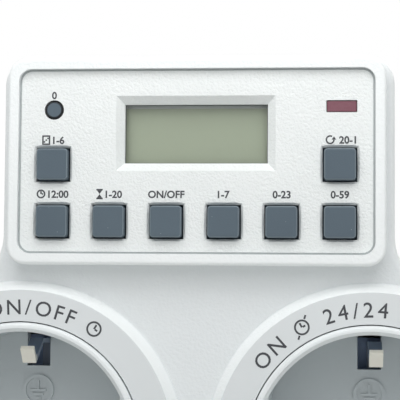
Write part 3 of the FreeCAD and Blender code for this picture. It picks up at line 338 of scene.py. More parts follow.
def finish(name, colour, second, rough, grains=2600.0, depth=0.00002, edge=None, edge_share=0.0, dust=None,
           dust_share=0.0, dust_cells=1500.0, dust_fill=0.12, metal=0.0, specular=0.5, mottle=1.0):
    material = bpy.data.materials.new(name)
    material.use_nodes = True
    tree = material.node_tree
    shader = tree.nodes["Principled BSDF"].inputs
    skin = group_node(tree, SKIN, Grains_per_metre=grains)
    base = blend_colour(tree, calc(tree, "MULTIPLY", skin["Mottle"], mottle), linear(colour), linear(second))
    if edge:
        worn = group_node(tree, EDGES)["Mask"]
        base = blend_colour(tree, calc(tree, "MULTIPLY", worn, edge_share), base, linear(edge))
    if dust:
        grain = group_node(tree, SPECKS, Cells_per_metre=dust_cells, Share=dust_fill)["Mask"]
        base = blend_colour(tree, calc(tree, "MULTIPLY", grain, dust_share), base, linear(dust))
    tree.links.new(base, shader["Base Color"])
    bump = put(tree, "ShaderNodeBump", {"Height": skin["Height"], "Distance": depth, "Strength": 1.0})
    tree.links.new(bump.outputs[0], shader["Normal"])
    roughness = ramp(tree, skin["Mottle"], 0.0, 1.0, rough - ROUGH_SPREAD, rough + ROUGH_SPREAD)
    tree.links.new(roughness, shader["Roughness"])
    shader["Metallic"].default_value = metal
    shader["Specular IOR Level"].default_value = specular
    return material


def lay_over(material, amount, colour):
    """Blends a colour over what already feeds a finish's base colour."""
    tree = material.node_tree
    base = tree.nodes["Principled BSDF"].inputs["Base Color"]
    tree.links.new(blend_colour(tree, amount, base.links[0].from_socket, linear(colour)), base)


def dress(material, *names):
    for name in names:
        mesh = nodes[name].data
        mesh.materials.clear()
        mesh.materials.append(material)
    print(material.name, "on", len(names), "nodes")


print("finish maker ready, with", len(bpy.data.node_groups), "shared groups")


# %% [markdown]
# ## The pale housing
# The housing is moulded in off-white plastic with fine pits. In the photograph the lip and the slopes are the
# brightest parts, while the flat front and the smooth lettered rings lie farther from the light and are a
# little greyer.
# That grey is painted shade: each of those flats lies at a depth of its own, so a mask on the y coordinate
# tells them apart, with no outline drawn for them.

# %% Housing
# The two greys below are painted shade, for the light falling off on the lower flats.
RING_PAINTED_SHADE = (224, 228, 229)
RING_REACH = 0.15 * MM
FRONT_PAINTED_SHADE = (231, 235, 236)
FRONT_REACH = 0.4 * MM


def near_depth(tree, depth, reach):
    """1 on the plane y = depth, falling to 0 at the reach from it."""
    off = calc(tree, "SUBTRACT", parts_of(tree, place_of(tree))["Y"], depth)
    return ramp(tree, calc(tree, "ABSOLUTE", off), 0.0, reach, 1.0, 0.0)


def make_housing_finish():
    material = finish("housing_white", (247, 250, 250), (243, 247, 247), 0.45, grains=1900, depth=0.00011,
                      dust=(120, 120, 118), dust_share=0.5, dust_cells=900.0, dust_fill=0.003)
    tree = material.node_tree
    ring = near_depth(tree, RING_Y, RING_REACH)
    # Painted shade laid on the flat front and on the lettered rings.
    lay_over(material, near_depth(tree, FRONT_Y, FRONT_REACH), FRONT_PAINTED_SHADE)
    lay_over(material, ring, RING_PAINTED_SHADE)
    bump = next(node for node in tree.nodes if node.type == "BUMP")
    tree.links.new(calc(tree, "SUBTRACT", 1.0, ring), bump.inputs["Strength"])
    return material


dress(make_housing_finish(), "front_housing", "rear_housing", "plug_body")

# %% [markdown]
# ## The panel, cups and shutters
# The panel has a rougher sandblasted skin than the housing, which a larger bump depth gives. The cups are
# glossier and as pale as the housing, and a painted shade greys them down the recess, so a second colour
# follows depth.

# %% Panel, cups and shutters
# Painted shade: the cup greys towards this colour down the recess.
RECESS_PAINTED_SHADE = (203, 210, 212)
CUP_FADE = (RIM_Y + 0.5 * MM, RIM_Y + 3.0 * MM)


def make_cup_finish():
    material = finish("cup_grey", (238, 242, 242), (232, 237, 238), 0.32, grains=2200, depth=0.00002)
    tree = material.node_tree
    lay_over(material, ramp(tree, parts_of(tree, place_of(tree))["Y"], *CUP_FADE), RECESS_PAINTED_SHADE)
    return material


panel_white = finish("panel_white", (242, 245, 244), (237, 241, 240), 0.52, grains=2300, depth=0.00019)
cup_grey = make_cup_finish()
shutter_white = finish("shutter_white", (218, 219, 214), (208, 210, 206), 0.45, depth=0.00001)
dress(panel_white, "control_panel")
dress(cup_grey, "socket_cup_left", "socket_cup_right")
dress(shutter_white, "shutter_left", "shutter_right")

# %% [markdown]
# ## The floor's finish
# A table top near the object has to keep its shadow, and far from it the photograph is plain white. So the
# floor is a real pale surface near the middle, and fades to white farther out, only for what is seen of it.

# %% Floor finish
FLOOR_FADE = (0.10, 0.40)


def make_floor_finish():
    material = finish("floor_pale", (240, 240, 238), (236, 236, 234), 0.8, grains=300, depth=0.00005)
    tree = material.node_tree
    reach = distance_from(tree, (0, 0, 0), (1, 1, 0))
    fade = ramp(tree, reach, *FLOOR_FADE, interpolation_type="SMOOTHSTEP")
    share = calc(tree, "MULTIPLY", fade, seen_directly(tree))
    white = put(tree, "ShaderNodeEmission", {"Color": WHITE, "Strength": 1.0})
    shader = tree.nodes["Principled BSDF"]
    mix = put(tree, "ShaderNodeMixShader", {0: share, 1: shader.outputs[0], 2: white.outputs[0]})
    tree.links.new(mix.outputs[0], tree.nodes["Material Output"].inputs["Surface"])
    return material


floor_mesh.materials.append(make_floor_finish())
print("floor fades from", FLOOR_FADE[0], "to", FLOOR_FADE[1], "m")

# %% [markdown]
# ## Rubber keys
# Soft slate-coloured silicone picks up pale dust specks, and the rims of the caps are laid over with a paler
# colour. The rim of a cap is where its surface turns from the front to the side, so the mask comes from the
# surface's direction.
# The small round cap is narrower than its hole, and painted shade for the dark gap round it is laid over the
# cap's edge by distance.

# %% Rubber
RIM_TILT = 0.78
RIM_TILT_REACH = 0.21
RIM_SHARE = 0.75
RIM_PALE = (146, 158, 164)
# Painted shade for the gap round the round cap.
ROUND_CAP_EDGE = (1.17 * MM, 1.25 * MM)
GAP_PAINTED_SHADE = (36, 40, 44)


def make_key_finish(name):
    material = finish(name, (89, 103, 113), (83, 96, 106), 0.62, grains=3200, depth=0.00003, specular=0.35,
                      dust=(196, 202, 206), dust_share=0.8, dust_cells=2600.0, dust_fill=0.03)
    tree = material.node_tree
    normal = put(tree, "ShaderNodeNewGeometry").outputs["Normal"]
    facing = calc(tree, "ABSOLUTE", parts_of(tree, normal)["Y"])
    off = calc(tree, "ABSOLUTE", calc(tree, "SUBTRACT", facing, RIM_TILT))
    lay_over(material, ramp(tree, off, 0.0, RIM_TILT_REACH, RIM_SHARE, 0.0), RIM_PALE)
    return material


def make_round_key_finish(centre):
    material = make_key_finish("round_key_rubber")
    tree = material.node_tree
    # Painted shade: the dark gap round the round cap, laid on the cap's edge.
    lay_over(material, ramp(tree, distance_from(tree, tuple(centre), (1, 0, 1)), *ROUND_CAP_EDGE), GAP_PAINTED_SHADE)
    return material


KEYS = [name for name in nodes if name.startswith("key_")]
dress(make_key_finish("key_rubber"), *KEYS)
dress(make_round_key_finish(middle("key_master_reset")), "key_master_reset")
mat_rubber = finish("mat_rubber", (86, 96, 104), (80, 90, 98), 0.7, depth=0.00002, specular=0.3)
dress(mat_rubber, "keypad_mat", "zebra_strips")

# %% [markdown]
# ## Display, window and lamp
# The unlit display is a grey green, with a strip of painted shade in neutral grey just under the window's
# upper edge. The window in front of it is clear, so it keeps plain transmission. The lamp is a block of dark
# red resin with a grainy face, which dust specks give more simply than a bump.

# %% Display finishes
# The band below the window's upper edge is painted shade.
SHADE_BAND_EDGE = 4.65 * MM
SHADE_BAND_SOFTNESS = 0.03 * MM
DISPLAY_PAINTED_SHADE = (180, 186, 184)
ACRYLIC_IOR = 1.49
CLEAR_ALPHA = 0.12
CLEAR_SPREAD = 0.03


def make_display_finish():
    material = finish("display_green", (155, 164, 144), (149, 158, 139), 0.3, grains=900, depth=0.000002,
                      mottle=0.6)
    tree = material.node_tree
    edge = middle("display_window").z + SHADE_BAND_EDGE
    height = parts_of(tree, place_of(tree))["Z"]
    lay_over(material, ramp(tree, height, edge - SHADE_BAND_SOFTNESS, edge + SHADE_BAND_SOFTNESS), DISPLAY_PAINTED_SHADE)
    return material


def make_clear(name, tint, rough):
    material = bpy.data.materials.new(name)
    material.use_nodes = True
    tree = material.node_tree
    shader = tree.nodes["Principled BSDF"].inputs
    shader["Base Color"].default_value = linear(tint)
    shader["Transmission Weight"].default_value = 1.0
    shader["IOR"].default_value = ACRYLIC_IOR
    shader["Alpha"].default_value = CLEAR_ALPHA
    mottle = group_node(tree, SKIN)["Mottle"]
    tree.links.new(ramp(tree, mottle, 0.0, 1.0, rough, rough + CLEAR_SPREAD), shader["Roughness"])
    return material


dress(make_display_finish(), "lcd_cell")
dress(make_clear("window_clear", (250, 252, 248), 0.04), "display_window")
lamp_resin = finish("lamp_resin", (116, 70, 82), (134, 84, 96), 0.22, grains=1500, depth=0.00005,
                    edge=(74, 42, 52), edge_share=0.7, dust=(168, 128, 136), dust_share=0.6,
                    dust_cells=5200.0)
dress(lamp_resin, "indicator_lamp")

# %% [markdown]
# ## Metals
# Earth parts and plug pins are nickel-plated brass with a warm cast, current bars are bare brass, and screws,
# springs and iron parts are zinc plated. The earth clips are bright and warm at the tips, and a painted shade
# turns them blue grey down the shank in the dark slot, so their second colour follows depth like the cups'.

# %% Metal finishes
# Painted shade for the clip's shank down in the slot.
CLIP_FADE = (RIM_Y + 4.9 * MM, RIM_Y + 6.5 * MM)
SHANK_PAINTED_SHADE = (118, 132, 154)


def make_clip_finish():
    material = finish("clip_tip", (250, 247, 236), (240, 236, 222), 0.4, grains=1400, depth=0.00001)
    tree = material.node_tree
    lay_over(material, ramp(tree, parts_of(tree, place_of(tree))["Y"], *CLIP_FADE), SHANK_PAINTED_SHADE)
    return material


clip_nickel = finish("clip_nickel", (240, 236, 222), (226, 222, 208), 0.4, grains=1400, depth=0.00001,
                     metal=0.25)
pin_nickel = finish("pin_nickel", (206, 204, 198), (190, 188, 182), 0.24, grains=900, depth=0.000006,
                    metal=1.0, edge=(232, 230, 224), edge_share=0.5)
bare_brass = finish("bare_brass", (200, 168, 102), (178, 146, 84), 0.32, grains=1200, depth=0.00001,
                    metal=1.0)
zinc = finish("zinc", (176, 178, 180), (156, 158, 162), 0.34, grains=1600, depth=0.00001, metal=1.0)
iron = finish("iron", (126, 126, 130), (108, 108, 112), 0.5, grains=1800, depth=0.00002, metal=1.0)
dress(make_clip_finish(), "earth_clips_left", "earth_clips_right")
dress(clip_nickel, "earth_bar", "plug_earth_contacts")
dress(pin_nickel, "plug_pin_live", "plug_pin_neutral")
dress(bare_brass, "live_bar", "neutral_bar", "switched_bar", "relay_contacts",
      *[name for name in nodes if name.startswith("pin_contact_")])
dress(zinc, "housing_screws", "display_board_screws", "power_board_screws", "shutter_springs_left",
      "shutter_springs_right", "cell_tabs", "backup_cell", "clock_crystal")
dress(iron, "relay_yoke", "relay_armature")

# %% [markdown]
# ## Circuit boards
# The boards are green with a faint lattice of copper under the mask. Real tracks could be drawn one by one,
# but they show only when the shells are off, so a brick pattern turned to the front stands in for them.

# %% Boards
TRACKS_PER_METRE = 320.0
TRACK_SHARE = 0.45
TRACK_GREEN = (64, 132, 74)


def make_board():
    material = finish("solder_mask", (30, 92, 52), (26, 82, 46), 0.35, grains=2400, depth=0.00001)
    tree = material.node_tree
    flat = put(tree, "ShaderNodeMapping", {"Vector": place_of(tree), "Rotation": (math.radians(90), 0, 0)})
    pattern = {"Vector": flat.outputs[0], "Scale": TRACKS_PER_METRE, "Mortar Size": 0.09}
    tracks = put(tree, "ShaderNodeTexBrick", pattern).outputs["Fac"]
    lay_over(material, calc(tree, "MULTIPLY", tracks, TRACK_SHARE), TRACK_GREEN)
    return material


dress(make_board(), "display_board", "power_board")

# %% [markdown]
# ## Components on the boards
# Each kind of component has the colour that such parts usually have. They differ only in amounts, so one
# table of colours, roughness and members is enough.

# %% Components
INSIDE = {
    "black_moulding": ((30, 30, 33), (40, 40, 44), 0.45,
                       ("controller_chip", "driver_transistor", "diodes", "board_link")),
    "bobbin_brown": ((96, 60, 40), (84, 52, 34), 0.5, ("relay_coil", "relay_base")),
    "relay_blue": ((36, 78, 150), (30, 68, 138), 0.3, ("relay_cover",)),
    "film_yellow": ((206, 168, 60), (196, 156, 52), 0.35, ("film_capacitor",)),
    "can_sleeve": ((44, 48, 60), (38, 42, 54), 0.3, ("electrolytic_capacitors",)),
    "disc_blue": ((52, 96, 160), (44, 86, 150), 0.4, ("varistor",)),
    "resistor_tan": ((204, 178, 134), (194, 168, 124), 0.45, ("resistors",)),
    "holder_white": ((220, 220, 214), (210, 210, 204), 0.45, ("lcd_holder",)),
}
for name, (colour, second, rough, members) in INSIDE.items():
    dress(finish(name, colour, second, rough, depth=0.00001, edge=second, edge_share=0.3), *members)
print("finishes so far", len(bpy.data.materials))

# %% [markdown]
# ## Making pieces
# Every added piece is a plain mesh at its place, made in bmesh and tied to the body that carries it. Flat
# shapes are drawn in x and z first and raised towards the front, so a mark or a sign is a list of outlines.

# %% Helpers for pieces
def mesh_from(bm, name):
    mesh = bpy.data.meshes.new(name)
    bm.to_mesh(mesh)
    bm.free()
    return mesh


def piece_from(mesh, name, material, body="root"):
    mesh.materials.clear()
    mesh.materials.append(material)
    made = bpy.data.objects.new(name, mesh)
    bpy.context.scene.collection.objects.link(made)
    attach(made, body)
    print(name, "has", len(mesh.polygons), "faces")
    return made


def raised(loops, height):
    """Closed loops of (x, z) points as solid shapes that stand out of y = 0 by the height."""
    bm = bmesh.new()
    for points in loops:
        bm.faces.new([bm.verts.new((x, 0, z)) for x, z in points])
    bmesh.ops.remove_doubles(bm, verts=bm.verts, dist=1e-7)
    bmesh.ops.recalc_face_normals(bm, faces=bm.faces)
    risen = bmesh.ops.extrude_face_region(bm, geom=list(bm.faces), use_keep_orig=True)
    for element in risen["geom"]:
        if isinstance(element, bmesh.types.BMVert):
            element.co.y -= height
    bmesh.ops.recalc_face_normals(bm, faces=bm.faces)
    return bm


def shift(bm, dx, dz, dy=0.0):
    for v in bm.verts:
        v.co += Vector((dx, dy, dz))


print("helpers for pieces ready")


# %% [markdown]
# ## The panel's square openings
# The frame's panel has soft corners round its openings. In the photograph each key stands in a square hole
# with a narrow sloping frame, and the window's slopes meet in mitred corners. So a copy of the panel is cut
# with blocks whose section changes along y, one block for each opening, and the copy stands in for the node.

# %% Cutting blocks
KEY_FRAME = 6.5 * MM
KEY_HOLE = 5.98 * MM
KEY_FRAME_DEPTH = 0.35 * MM
WINDOW_OUTER = (27.84 * MM, 13.14 * MM)
WINDOW_INNER = (25.04 * MM, 10.34 * MM)
WINDOW_SLOPE_DEPTH = 1.2 * MM
CUT_FROM = PANEL_Y - 1 * MM
CUT_TO = PANEL_Y + 3 * MM


def lofted_block(bm, x, z, sections):
    """Adds a closed block from (width, height, y) sections about one centre."""
    rings = []
    for w, h, y in sections:
        rings.append([bm.verts.new((x + sx * w / 2, y, z + sz * h / 2)) for sx, sz in signs])
    for near, far in zip(rings, rings[1:]):
        for k in range(4):
            bm.faces.new((near[k], near[(k + 1) % 4], far[(k + 1) % 4], far[k]))
    bm.faces.new(rings[0])
    bm.faces.new(rings[-1])


def opening_block(bm, node, outer, inner, slope_depth):
    """A block that narrows from the outer to the inner size over the slope's depth."""
    at = middle(node)
    lofted_block(bm, at.x, at.z, [(*outer, CUT_FROM), (*outer, PANEL_Y),
                                  (*inner, PANEL_Y + slope_depth), (*inner, CUT_TO)])


def opening_cutters():
    bm = bmesh.new()
    for key in KEYS:
        if key != "key_master_reset":
            opening_block(bm, key, (KEY_FRAME, KEY_FRAME), (KEY_HOLE, KEY_HOLE), KEY_FRAME_DEPTH)
    opening_block(bm, "display_window", WINDOW_OUTER, WINDOW_INNER, WINDOW_SLOPE_DEPTH)
    bmesh.ops.recalc_face_normals(bm, faces=bm.faces)
    return mesh_from(bm, "cutters")


def cut_copy(node, cutters, name):
    """A welded, flat-shaded copy of a node's mesh with the cutters taken out of it."""
    bm = bmesh.new()
    bm.from_mesh(nodes[node].data)
    bmesh.ops.remove_doubles(bm, verts=bm.verts, dist=1e-6)
    carriers = [bpy.data.objects.new(name, mesh) for mesh in (mesh_from(bm, name), cutters)]
    for carrier in carriers:
        bpy.context.scene.collection.objects.link(carrier)
    cut = carriers[0].modifiers.new("cut", "BOOLEAN")
    cut.operation = "DIFFERENCE"
    cut.solver = "EXACT"
    cut.object = carriers[1]
    bpy.context.view_layer.update()
    mesh = bpy.data.meshes.new_from_object(carriers[0].evaluated_get(bpy.context.evaluated_depsgraph_get()))
    for carrier in carriers:
        bpy.data.objects.remove(carrier)
    for polygon in mesh.polygons:
        polygon.use_smooth = False
    mesh.name = name
    return mesh


panel_face = piece_from(cut_copy("control_panel", opening_cutters(), "panel_face"), "panel_face", panel_white)
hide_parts("control_panel")

# %% [markdown]
# ## The groove round the panel
# The gap round the panel is a soft grey line in the photograph, not a black one, because the housing's ledge
# lies close under it. A thin bead in the gap gives the groove that shallow floor, and its grey is painted
# shade.

# %% Bead
PANEL_CORNER_R = 1.9 * MM
GROOVE_W = 0.33 * MM
BEAD_CLEAR = 0.02 * MM
BEAD_T = 0.2 * MM
BEAD_DEPTH = 0.16 * MM
# Painted shade: the bead's grey stands for the shade in the narrow groove.
groove_painted_shade = finish("groove_painted_shade", (186, 191, 192), (178, 184, 185), 0.6, depth=0.00001)


def rounded_points(w, h, r, steps=8):
    points = []
    for quarter, (sx, sz) in enumerate(((1, 1), (-1, 1), (-1, -1), (1, -1))):
        for i in range(steps + 1):
            angle = math.pi / 2 * (quarter + i / steps)
            points.append((sx * (w / 2 - r) + r * math.cos(angle), sz * (h / 2 - r) + r * math.sin(angle)))
    return points


def make_bead():
    w, h = panel_high.x - panel_low.x, panel_high.z - panel_low.z
    core = rounded_points(w + BEAD_CLEAR, h + BEAD_CLEAR, PANEL_CORNER_R)
    rim = rounded_points(w + 2 * GROOVE_W, h + 2 * GROOVE_W, PANEL_CORNER_R + GROOVE_W)
    bm = raised([[rim[i - 1], rim[i], core[i], core[i - 1]] for i in range(len(rim))], BEAD_T)
    shift(bm, PANEL_MID.x, PANEL_MID.z, PANEL_Y + BEAD_DEPTH + BEAD_T)
    piece_from(mesh_from(bm, "groove_bead"), "groove_bead", groove_painted_shade)


make_bead()

# %% [markdown]
# ## Painted shade cards behind the earth slots
# Through the earth slots the photograph shows a blue black darkness, not bare metal. A pale blue card
# behind each slot, just clear of the earth strip, is painted shade: in the deep shadow there it looks blue
# black.

# %% Shade cards
CARD_X = 3.2 * MM
CARD_IN_R = 12.0 * MM
CARD_OUT_R = 18.6 * MM
CARD_T = 0.2 * MM
CARD_GAP = 0.1 * MM
# Painted shade: the pale blue card makes the slots look blue black in their shadow.
slot_shade_card = finish("slot_shade_card", (178, 200, 234), (166, 188, 222), 0.7, grains=1200, depth=0.00003)
strip_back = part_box("earth_clips_left")[1].y


def slot_cards(centre, name):
    loops = []
    for side in (-1, 1):
        low, high = sorted((side * CARD_IN_R, side * CARD_OUT_R))
        loops.append([(-CARD_X, low), (CARD_X, low), (CARD_X, high), (-CARD_X, high)])
    bm = raised(loops, CARD_T)
    shift(bm, centre.x, centre.z, strip_back + CARD_GAP + CARD_T)
    piece_from(mesh_from(bm, name), name, slot_shade_card)


for side, centre in CUPS.items():
    slot_cards(centre, f"slot_shade_card_{side}")

# %% [markdown]
# ## Printed letters
# Marks are a film of dark ink a few hundredths of a millimetre thick. They could be a texture, but as
# geometry they stay sharp and show in the exported meshes. Letters come from Blender's own font: a small
# bevel makes the strokes bolder, and the film is then pressed flat.

# %% Ink and letters
INK_T = 0.03 * MM
CAP_SHARE = 0.729
ink = finish("ink", (58, 60, 64), (68, 70, 74), 0.6, grains=3000, depth=0.000004)


def letter_bm(text, cap_height, bold):
    """Text as a thin film of ink with its foot at z = 0, centred on x = 0 and standing out of y = 0."""
    curve = bpy.data.curves.new("letters", "FONT")
    curve.body = text
    curve.size = 1.0
    curve.resolution_u = 4
    curve.bevel_depth = bold
    curve.bevel_resolution = 1
    carrier = bpy.data.objects.new("letters", curve)
    bpy.context.scene.collection.objects.link(carrier)
    bpy.context.view_layer.update()
    film = bpy.data.meshes.new_from_object(carrier.evaluated_get(bpy.context.evaluated_depsgraph_get()))
    bpy.data.objects.remove(carrier)
    bm = bmesh.new()
    bm.from_mesh(film)
    bpy.data.meshes.remove(film)
    low_x = min(v.co.x for v in bm.verts)
    high_x = max(v.co.x for v in bm.verts)
    scale = cap_height / CAP_SHARE
    for v in bm.verts:
        share = (v.co.z / bold + 1) / 2
        v.co = Vector(((v.co.x - (low_x + high_x) / 2) * scale, -share * INK_T, v.co.y * scale))
    return bm, (high_x - low_x) * scale


print("ink film", round(INK_T / MM, 3), "mm thick")

# %% [markdown]
# ## Strokes of the pictures
# Beside some of the letters stands a simple picture. It could be drawn as one long outline, but two
# kinds of stroke do most of the work: a straight bar and a part of a ring, each of one width.

# %% Bars and ring parts
def ring_points(r, count=32, start=0.0, end=2 * math.pi):
    closed = abs(end - start - 2 * math.pi) < 1e-6
    angles = [start + (end - start) * i / count for i in range(count + (0 if closed else 1))]
    return [(r * math.cos(angle), r * math.sin(angle)) for angle in angles]


def band(outer, inner, count=32, start=0.0, end=2 * math.pi):
    """A flat ring, or part of one, as quads."""
    rim = ring_points(outer, count, start, end)
    core = ring_points(inner, count, start, end)
    return [[rim[i], rim[(i + 1) % len(rim)], core[(i + 1) % len(core)], core[i]] for i in range(count)]


def bar(x0, z0, x1, z1, width):
    """A straight stroke from one point to another."""
    run = math.hypot(x1 - x0, z1 - z0)
    nx, nz = -(z1 - z0) / run * width / 2, (x1 - x0) / run * width / 2
    return [(x0 + nx, z0 + nz), (x1 + nx, z1 + nz), (x1 - nx, z1 - nz), (x0 - nx, z0 - nz)]


print("outlines in a full ring", len(band(2.0, 1.0)))

# %% [markdown]
# ## Four pictures
# The marks are generic: ON and OFF, plain number ranges, a clock, an hourglass, a square with dots and an
# arrow that turns back. Each picture is drawn about its own middle, with shares of its size or its stroke.

# %% Pictures
LONG_HAND = 0.62
SHORT_HAND = 0.5
HAND_CLEAR = 0.52
GLASS_HALF_W = 0.36
BULB_SHARE = 0.8
BULB_GAP = 0.55
WAIST_SHARE = 0.01
ARROW_FOOT = 0.1
ARROW_REACH = 1.6
ARROW_LENGTH = 1.4
DOT_R = 0.62
DOT_STEP = 0.22


def clock_picture(r, stroke):
    upright = bar(0, 0, 0, r * LONG_HAND, stroke)
    return band(r, r - stroke) + [upright, bar(stroke * HAND_CLEAR, 0, r * SHORT_HAND, 0, stroke)]


def hourglass_picture(h, stroke):
    w = h * GLASS_HALF_W
    loops = [bar(-w, h / 2, w, h / 2, stroke), bar(-w, -h / 2, w, -h / 2, stroke)]
    bulb_w = w * BULB_SHARE
    top = h / 2 - stroke * BULB_GAP
    waist = WAIST_SHARE * h
    loops.append([(-bulb_w, top), (0, waist), (bulb_w, top)])
    loops.append([(-bulb_w, -top), (bulb_w, -top), (0, -waist)])
    return loops


def return_picture(r, stroke):
    """An open circle that ends in an arrowhead."""
    start, end = math.radians(60), math.radians(360)
    loops = band(r, r - stroke, 24, start, end)
    mid, reach, foot = r - stroke / 2, stroke * ARROW_REACH, stroke * ARROW_FOOT
    loops.append([(mid - reach, foot), (mid + reach, foot), (mid, reach * ARROW_LENGTH)])
    return loops


def dice_picture(size, stroke):
    half = size / 2
    loops = [bar(-half, z, half, z, stroke) for z in (-half, half)]
    inner = half - stroke / 2
    loops += [bar(x, -inner, x, inner, stroke) for x in (-half + stroke / 2, half - stroke / 2)]
    dot = ring_points(stroke * DOT_R, 10)
    for dx, dz in ((-1, -1), (1, 1), (0, 0)):
        loops.append([(dx * size * DOT_STEP + px, dz * size * DOT_STEP + pz) for px, pz in dot])
    return loops


print("outlines in an hourglass", len(hourglass_picture(2.0, 0.2)), "in dice", len(dice_picture(2.0, 0.2)))

# %% [markdown]
# ## Marks on the panel
# Each key has its mark above it. A mark is a row of words and pictures centred over the key, so the row's
# full width is measured first and the parts are then laid from its left end.

# %% Panel marks
LETTER_H = 1.28 * MM
LABEL_BOLD = 0.028
PICTURE_H = 1.55 * MM
DICE_H = 0.92 * PICTURE_H
STROKE = 0.25 * MM
LABEL_GAP = 0.5 * MM
LOW_LABEL_RISE = 4.15 * MM
HIGH_LABEL_RISE = 3.65 * MM
ROUND_LABEL_RISE = 1.95 * MM
LABELS = {
    "key_clock": ([clock_picture(PICTURE_H / 2, STROKE), "12:00"], LOW_LABEL_RISE),
    "key_timer": ([hourglass_picture(PICTURE_H, STROKE), "1-20"], LOW_LABEL_RISE),
    "key_mode": (["ON/OFF"], LOW_LABEL_RISE),
    "key_week": (["1-7"], LOW_LABEL_RISE),
    "key_hour": (["0-23"], LOW_LABEL_RISE),
    "key_minute": (["0-59"], LOW_LABEL_RISE),
    "key_random": ([dice_picture(DICE_H, STROKE), "1-6"], HIGH_LABEL_RISE),
    "key_recall": ([return_picture(PICTURE_H / 2, STROKE), "20-1"], HIGH_LABEL_RISE),
    "key_master_reset": (["0"], ROUND_LABEL_RISE),
}


def flat_part(part, height, bold):
    """One word or picture as thin shapes with its foot at z = 0, and its width."""
    if isinstance(part, str):
        return letter_bm(part, height, bold)
    bm = raised(part, INK_T)
    shift(bm, 0, height / 2)
    return bm, max(v.co.x for v in bm.verts) * 2


def add_to(merged, bm):
    copy = mesh_from(bm, "part")
    merged.from_mesh(copy)
    bpy.data.meshes.remove(copy)


def panel_label(parts, key, rise):
    """Lays parts in a row centred over a key, with their feet at the rise above its middle."""
    made = [flat_part(part, LETTER_H, LABEL_BOLD) for part in parts]
    total = sum(width for bm, width in made) + LABEL_GAP * (len(made) - 1)
    at = middle(key)
    x = at.x - total / 2
    merged = bmesh.new()
    for bm, width in made:
        shift(bm, x + width / 2, at.z + rise, PANEL_Y)
        add_to(merged, bm)
        x += width + LABEL_GAP
    name = "mark" + key[3:]
    piece_from(mesh_from(merged, name), name, ink)


for key, (parts, rise) in LABELS.items():
    panel_label(parts, key, rise)

# %% [markdown]
# ## The border of the display's lens
# A narrow dark border is printed round the lens, where it meets the panel's slopes. It is a film like the
# letters, so four bars of ink on the lens make it.

# %% Lens border
LENS_BORDER_W = 0.14 * MM
border_grey = finish("border_grey", (84, 88, 88), (76, 80, 80), 0.6, depth=0.000004)


def make_lens_border():
    half_w, half_h = (size / 2 - LENS_BORDER_W / 2 for size in WINDOW_INNER)
    side_h = half_h - LENS_BORDER_W / 2
    edge_x = WINDOW_INNER[0] / 2
    loops = [bar(-edge_x, z, edge_x, z, LENS_BORDER_W) for z in (-half_h, half_h)]
    loops += [bar(x, -side_h, x, side_h, LENS_BORDER_W) for x in (-half_w, half_w)]
    bm = raised(loops, INK_T)
    lens = middle("display_window")
    shift(bm, lens.x, lens.z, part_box("display_window")[0].y)
    piece_from(mesh_from(bm, "lens_border"), "lens_border", border_grey)


make_lens_border()

# %% [markdown]
# ## Marks around the sockets
# The letters on each raised ring stand on a circle about the socket. Each letter is built upright, lifted to
# the circle's radius and turned about the socket's axis, so it keeps its shape instead of being bent.

# %% Ring marks
RING_TEXT_R = 22.75 * MM
RING_LETTER_H = 2.7 * MM
RING_BOLD = 0.005
RING_STROKE = 0.32 * MM
LETTER_GAP = 0.7 * MM
WORD_GAP = 1.5 * MM
LEFT_START = math.radians(-40.5)
RIGHT_START = math.radians(-54)
CROSS_OUT = 1.15
CROSS_IN = 0.78


def turned(bm, angle):
    """Turns flat shapes about the origin, clockwise as seen from the front."""
    for v in bm.verts:
        x, z = v.co.x, v.co.z
        v.co.x = x * math.cos(angle) + z * math.sin(angle)
        v.co.z = z * math.cos(angle) - x * math.sin(angle)


def ring_mark(parts, centre, start_angle, name):
    """Parts are letters, outlines or None for a word space, set one after another from the start angle."""
    merged = bmesh.new()
    angle = start_angle
    for part in parts:
        if part is None:
            angle += WORD_GAP / RING_TEXT_R
            continue
        bm, width = flat_part(part, RING_LETTER_H, RING_BOLD)
        angle += width / 2 / RING_TEXT_R
        shift(bm, 0, RING_TEXT_R)
        turned(bm, angle)
        angle += (width / 2 + LETTER_GAP) / RING_TEXT_R
        add_to(merged, bm)
    shift(merged, centre.x, centre.z, RING_Y)
    piece_from(mesh_from(merged, name), name, ink)
    print(name, "ends at", round(math.degrees(angle), 1), "degrees")


def crossed_clock():
    r = RING_LETTER_H / 2
    strokes = [bar(side * r * low, side * r * low, side * r * high, side * r * high, RING_STROKE)
               for side, low, high in ((-1, CROSS_OUT, CROSS_IN), (1, CROSS_IN, CROSS_OUT))]
    return clock_picture(r, RING_STROKE) + strokes


timed = clock_picture(RING_LETTER_H / 2, RING_STROKE)
timed_parts = list("0-24") + [None] + list("ON/OFF") + [None, timed]
always_parts = list("ON") + [None, crossed_clock(), None] + list("24/24")
ring_mark(timed_parts, CUPS["left"], LEFT_START, "ring_mark_left")
ring_mark(always_parts, CUPS["right"], RIGHT_START, "ring_mark_right")

# %% [markdown]
# ## The moulded earth sign
# Each socket floor carries the standard sign for protective earth in low relief: a ring round a stem with
# three bars. It is the same colour as the cup, so only its edges show, and it has to be real relief.

# %% Earth signs
SIGN_RISE = 8.5 * MM
SIGN_R = 2.9 * MM
SIGN_STROKE = 0.38 * MM
SIGN_RING_W = 0.6 * MM
SIGN_T = 0.4 * MM
SIGN_BARS = (1.5 * MM, 1.05 * MM, 0.55 * MM)
SIGN_BAR_STEP = 0.72 * MM
SIGN_STEM = 0.62 * SIGN_R
SIGN_RING_STEPS = 48


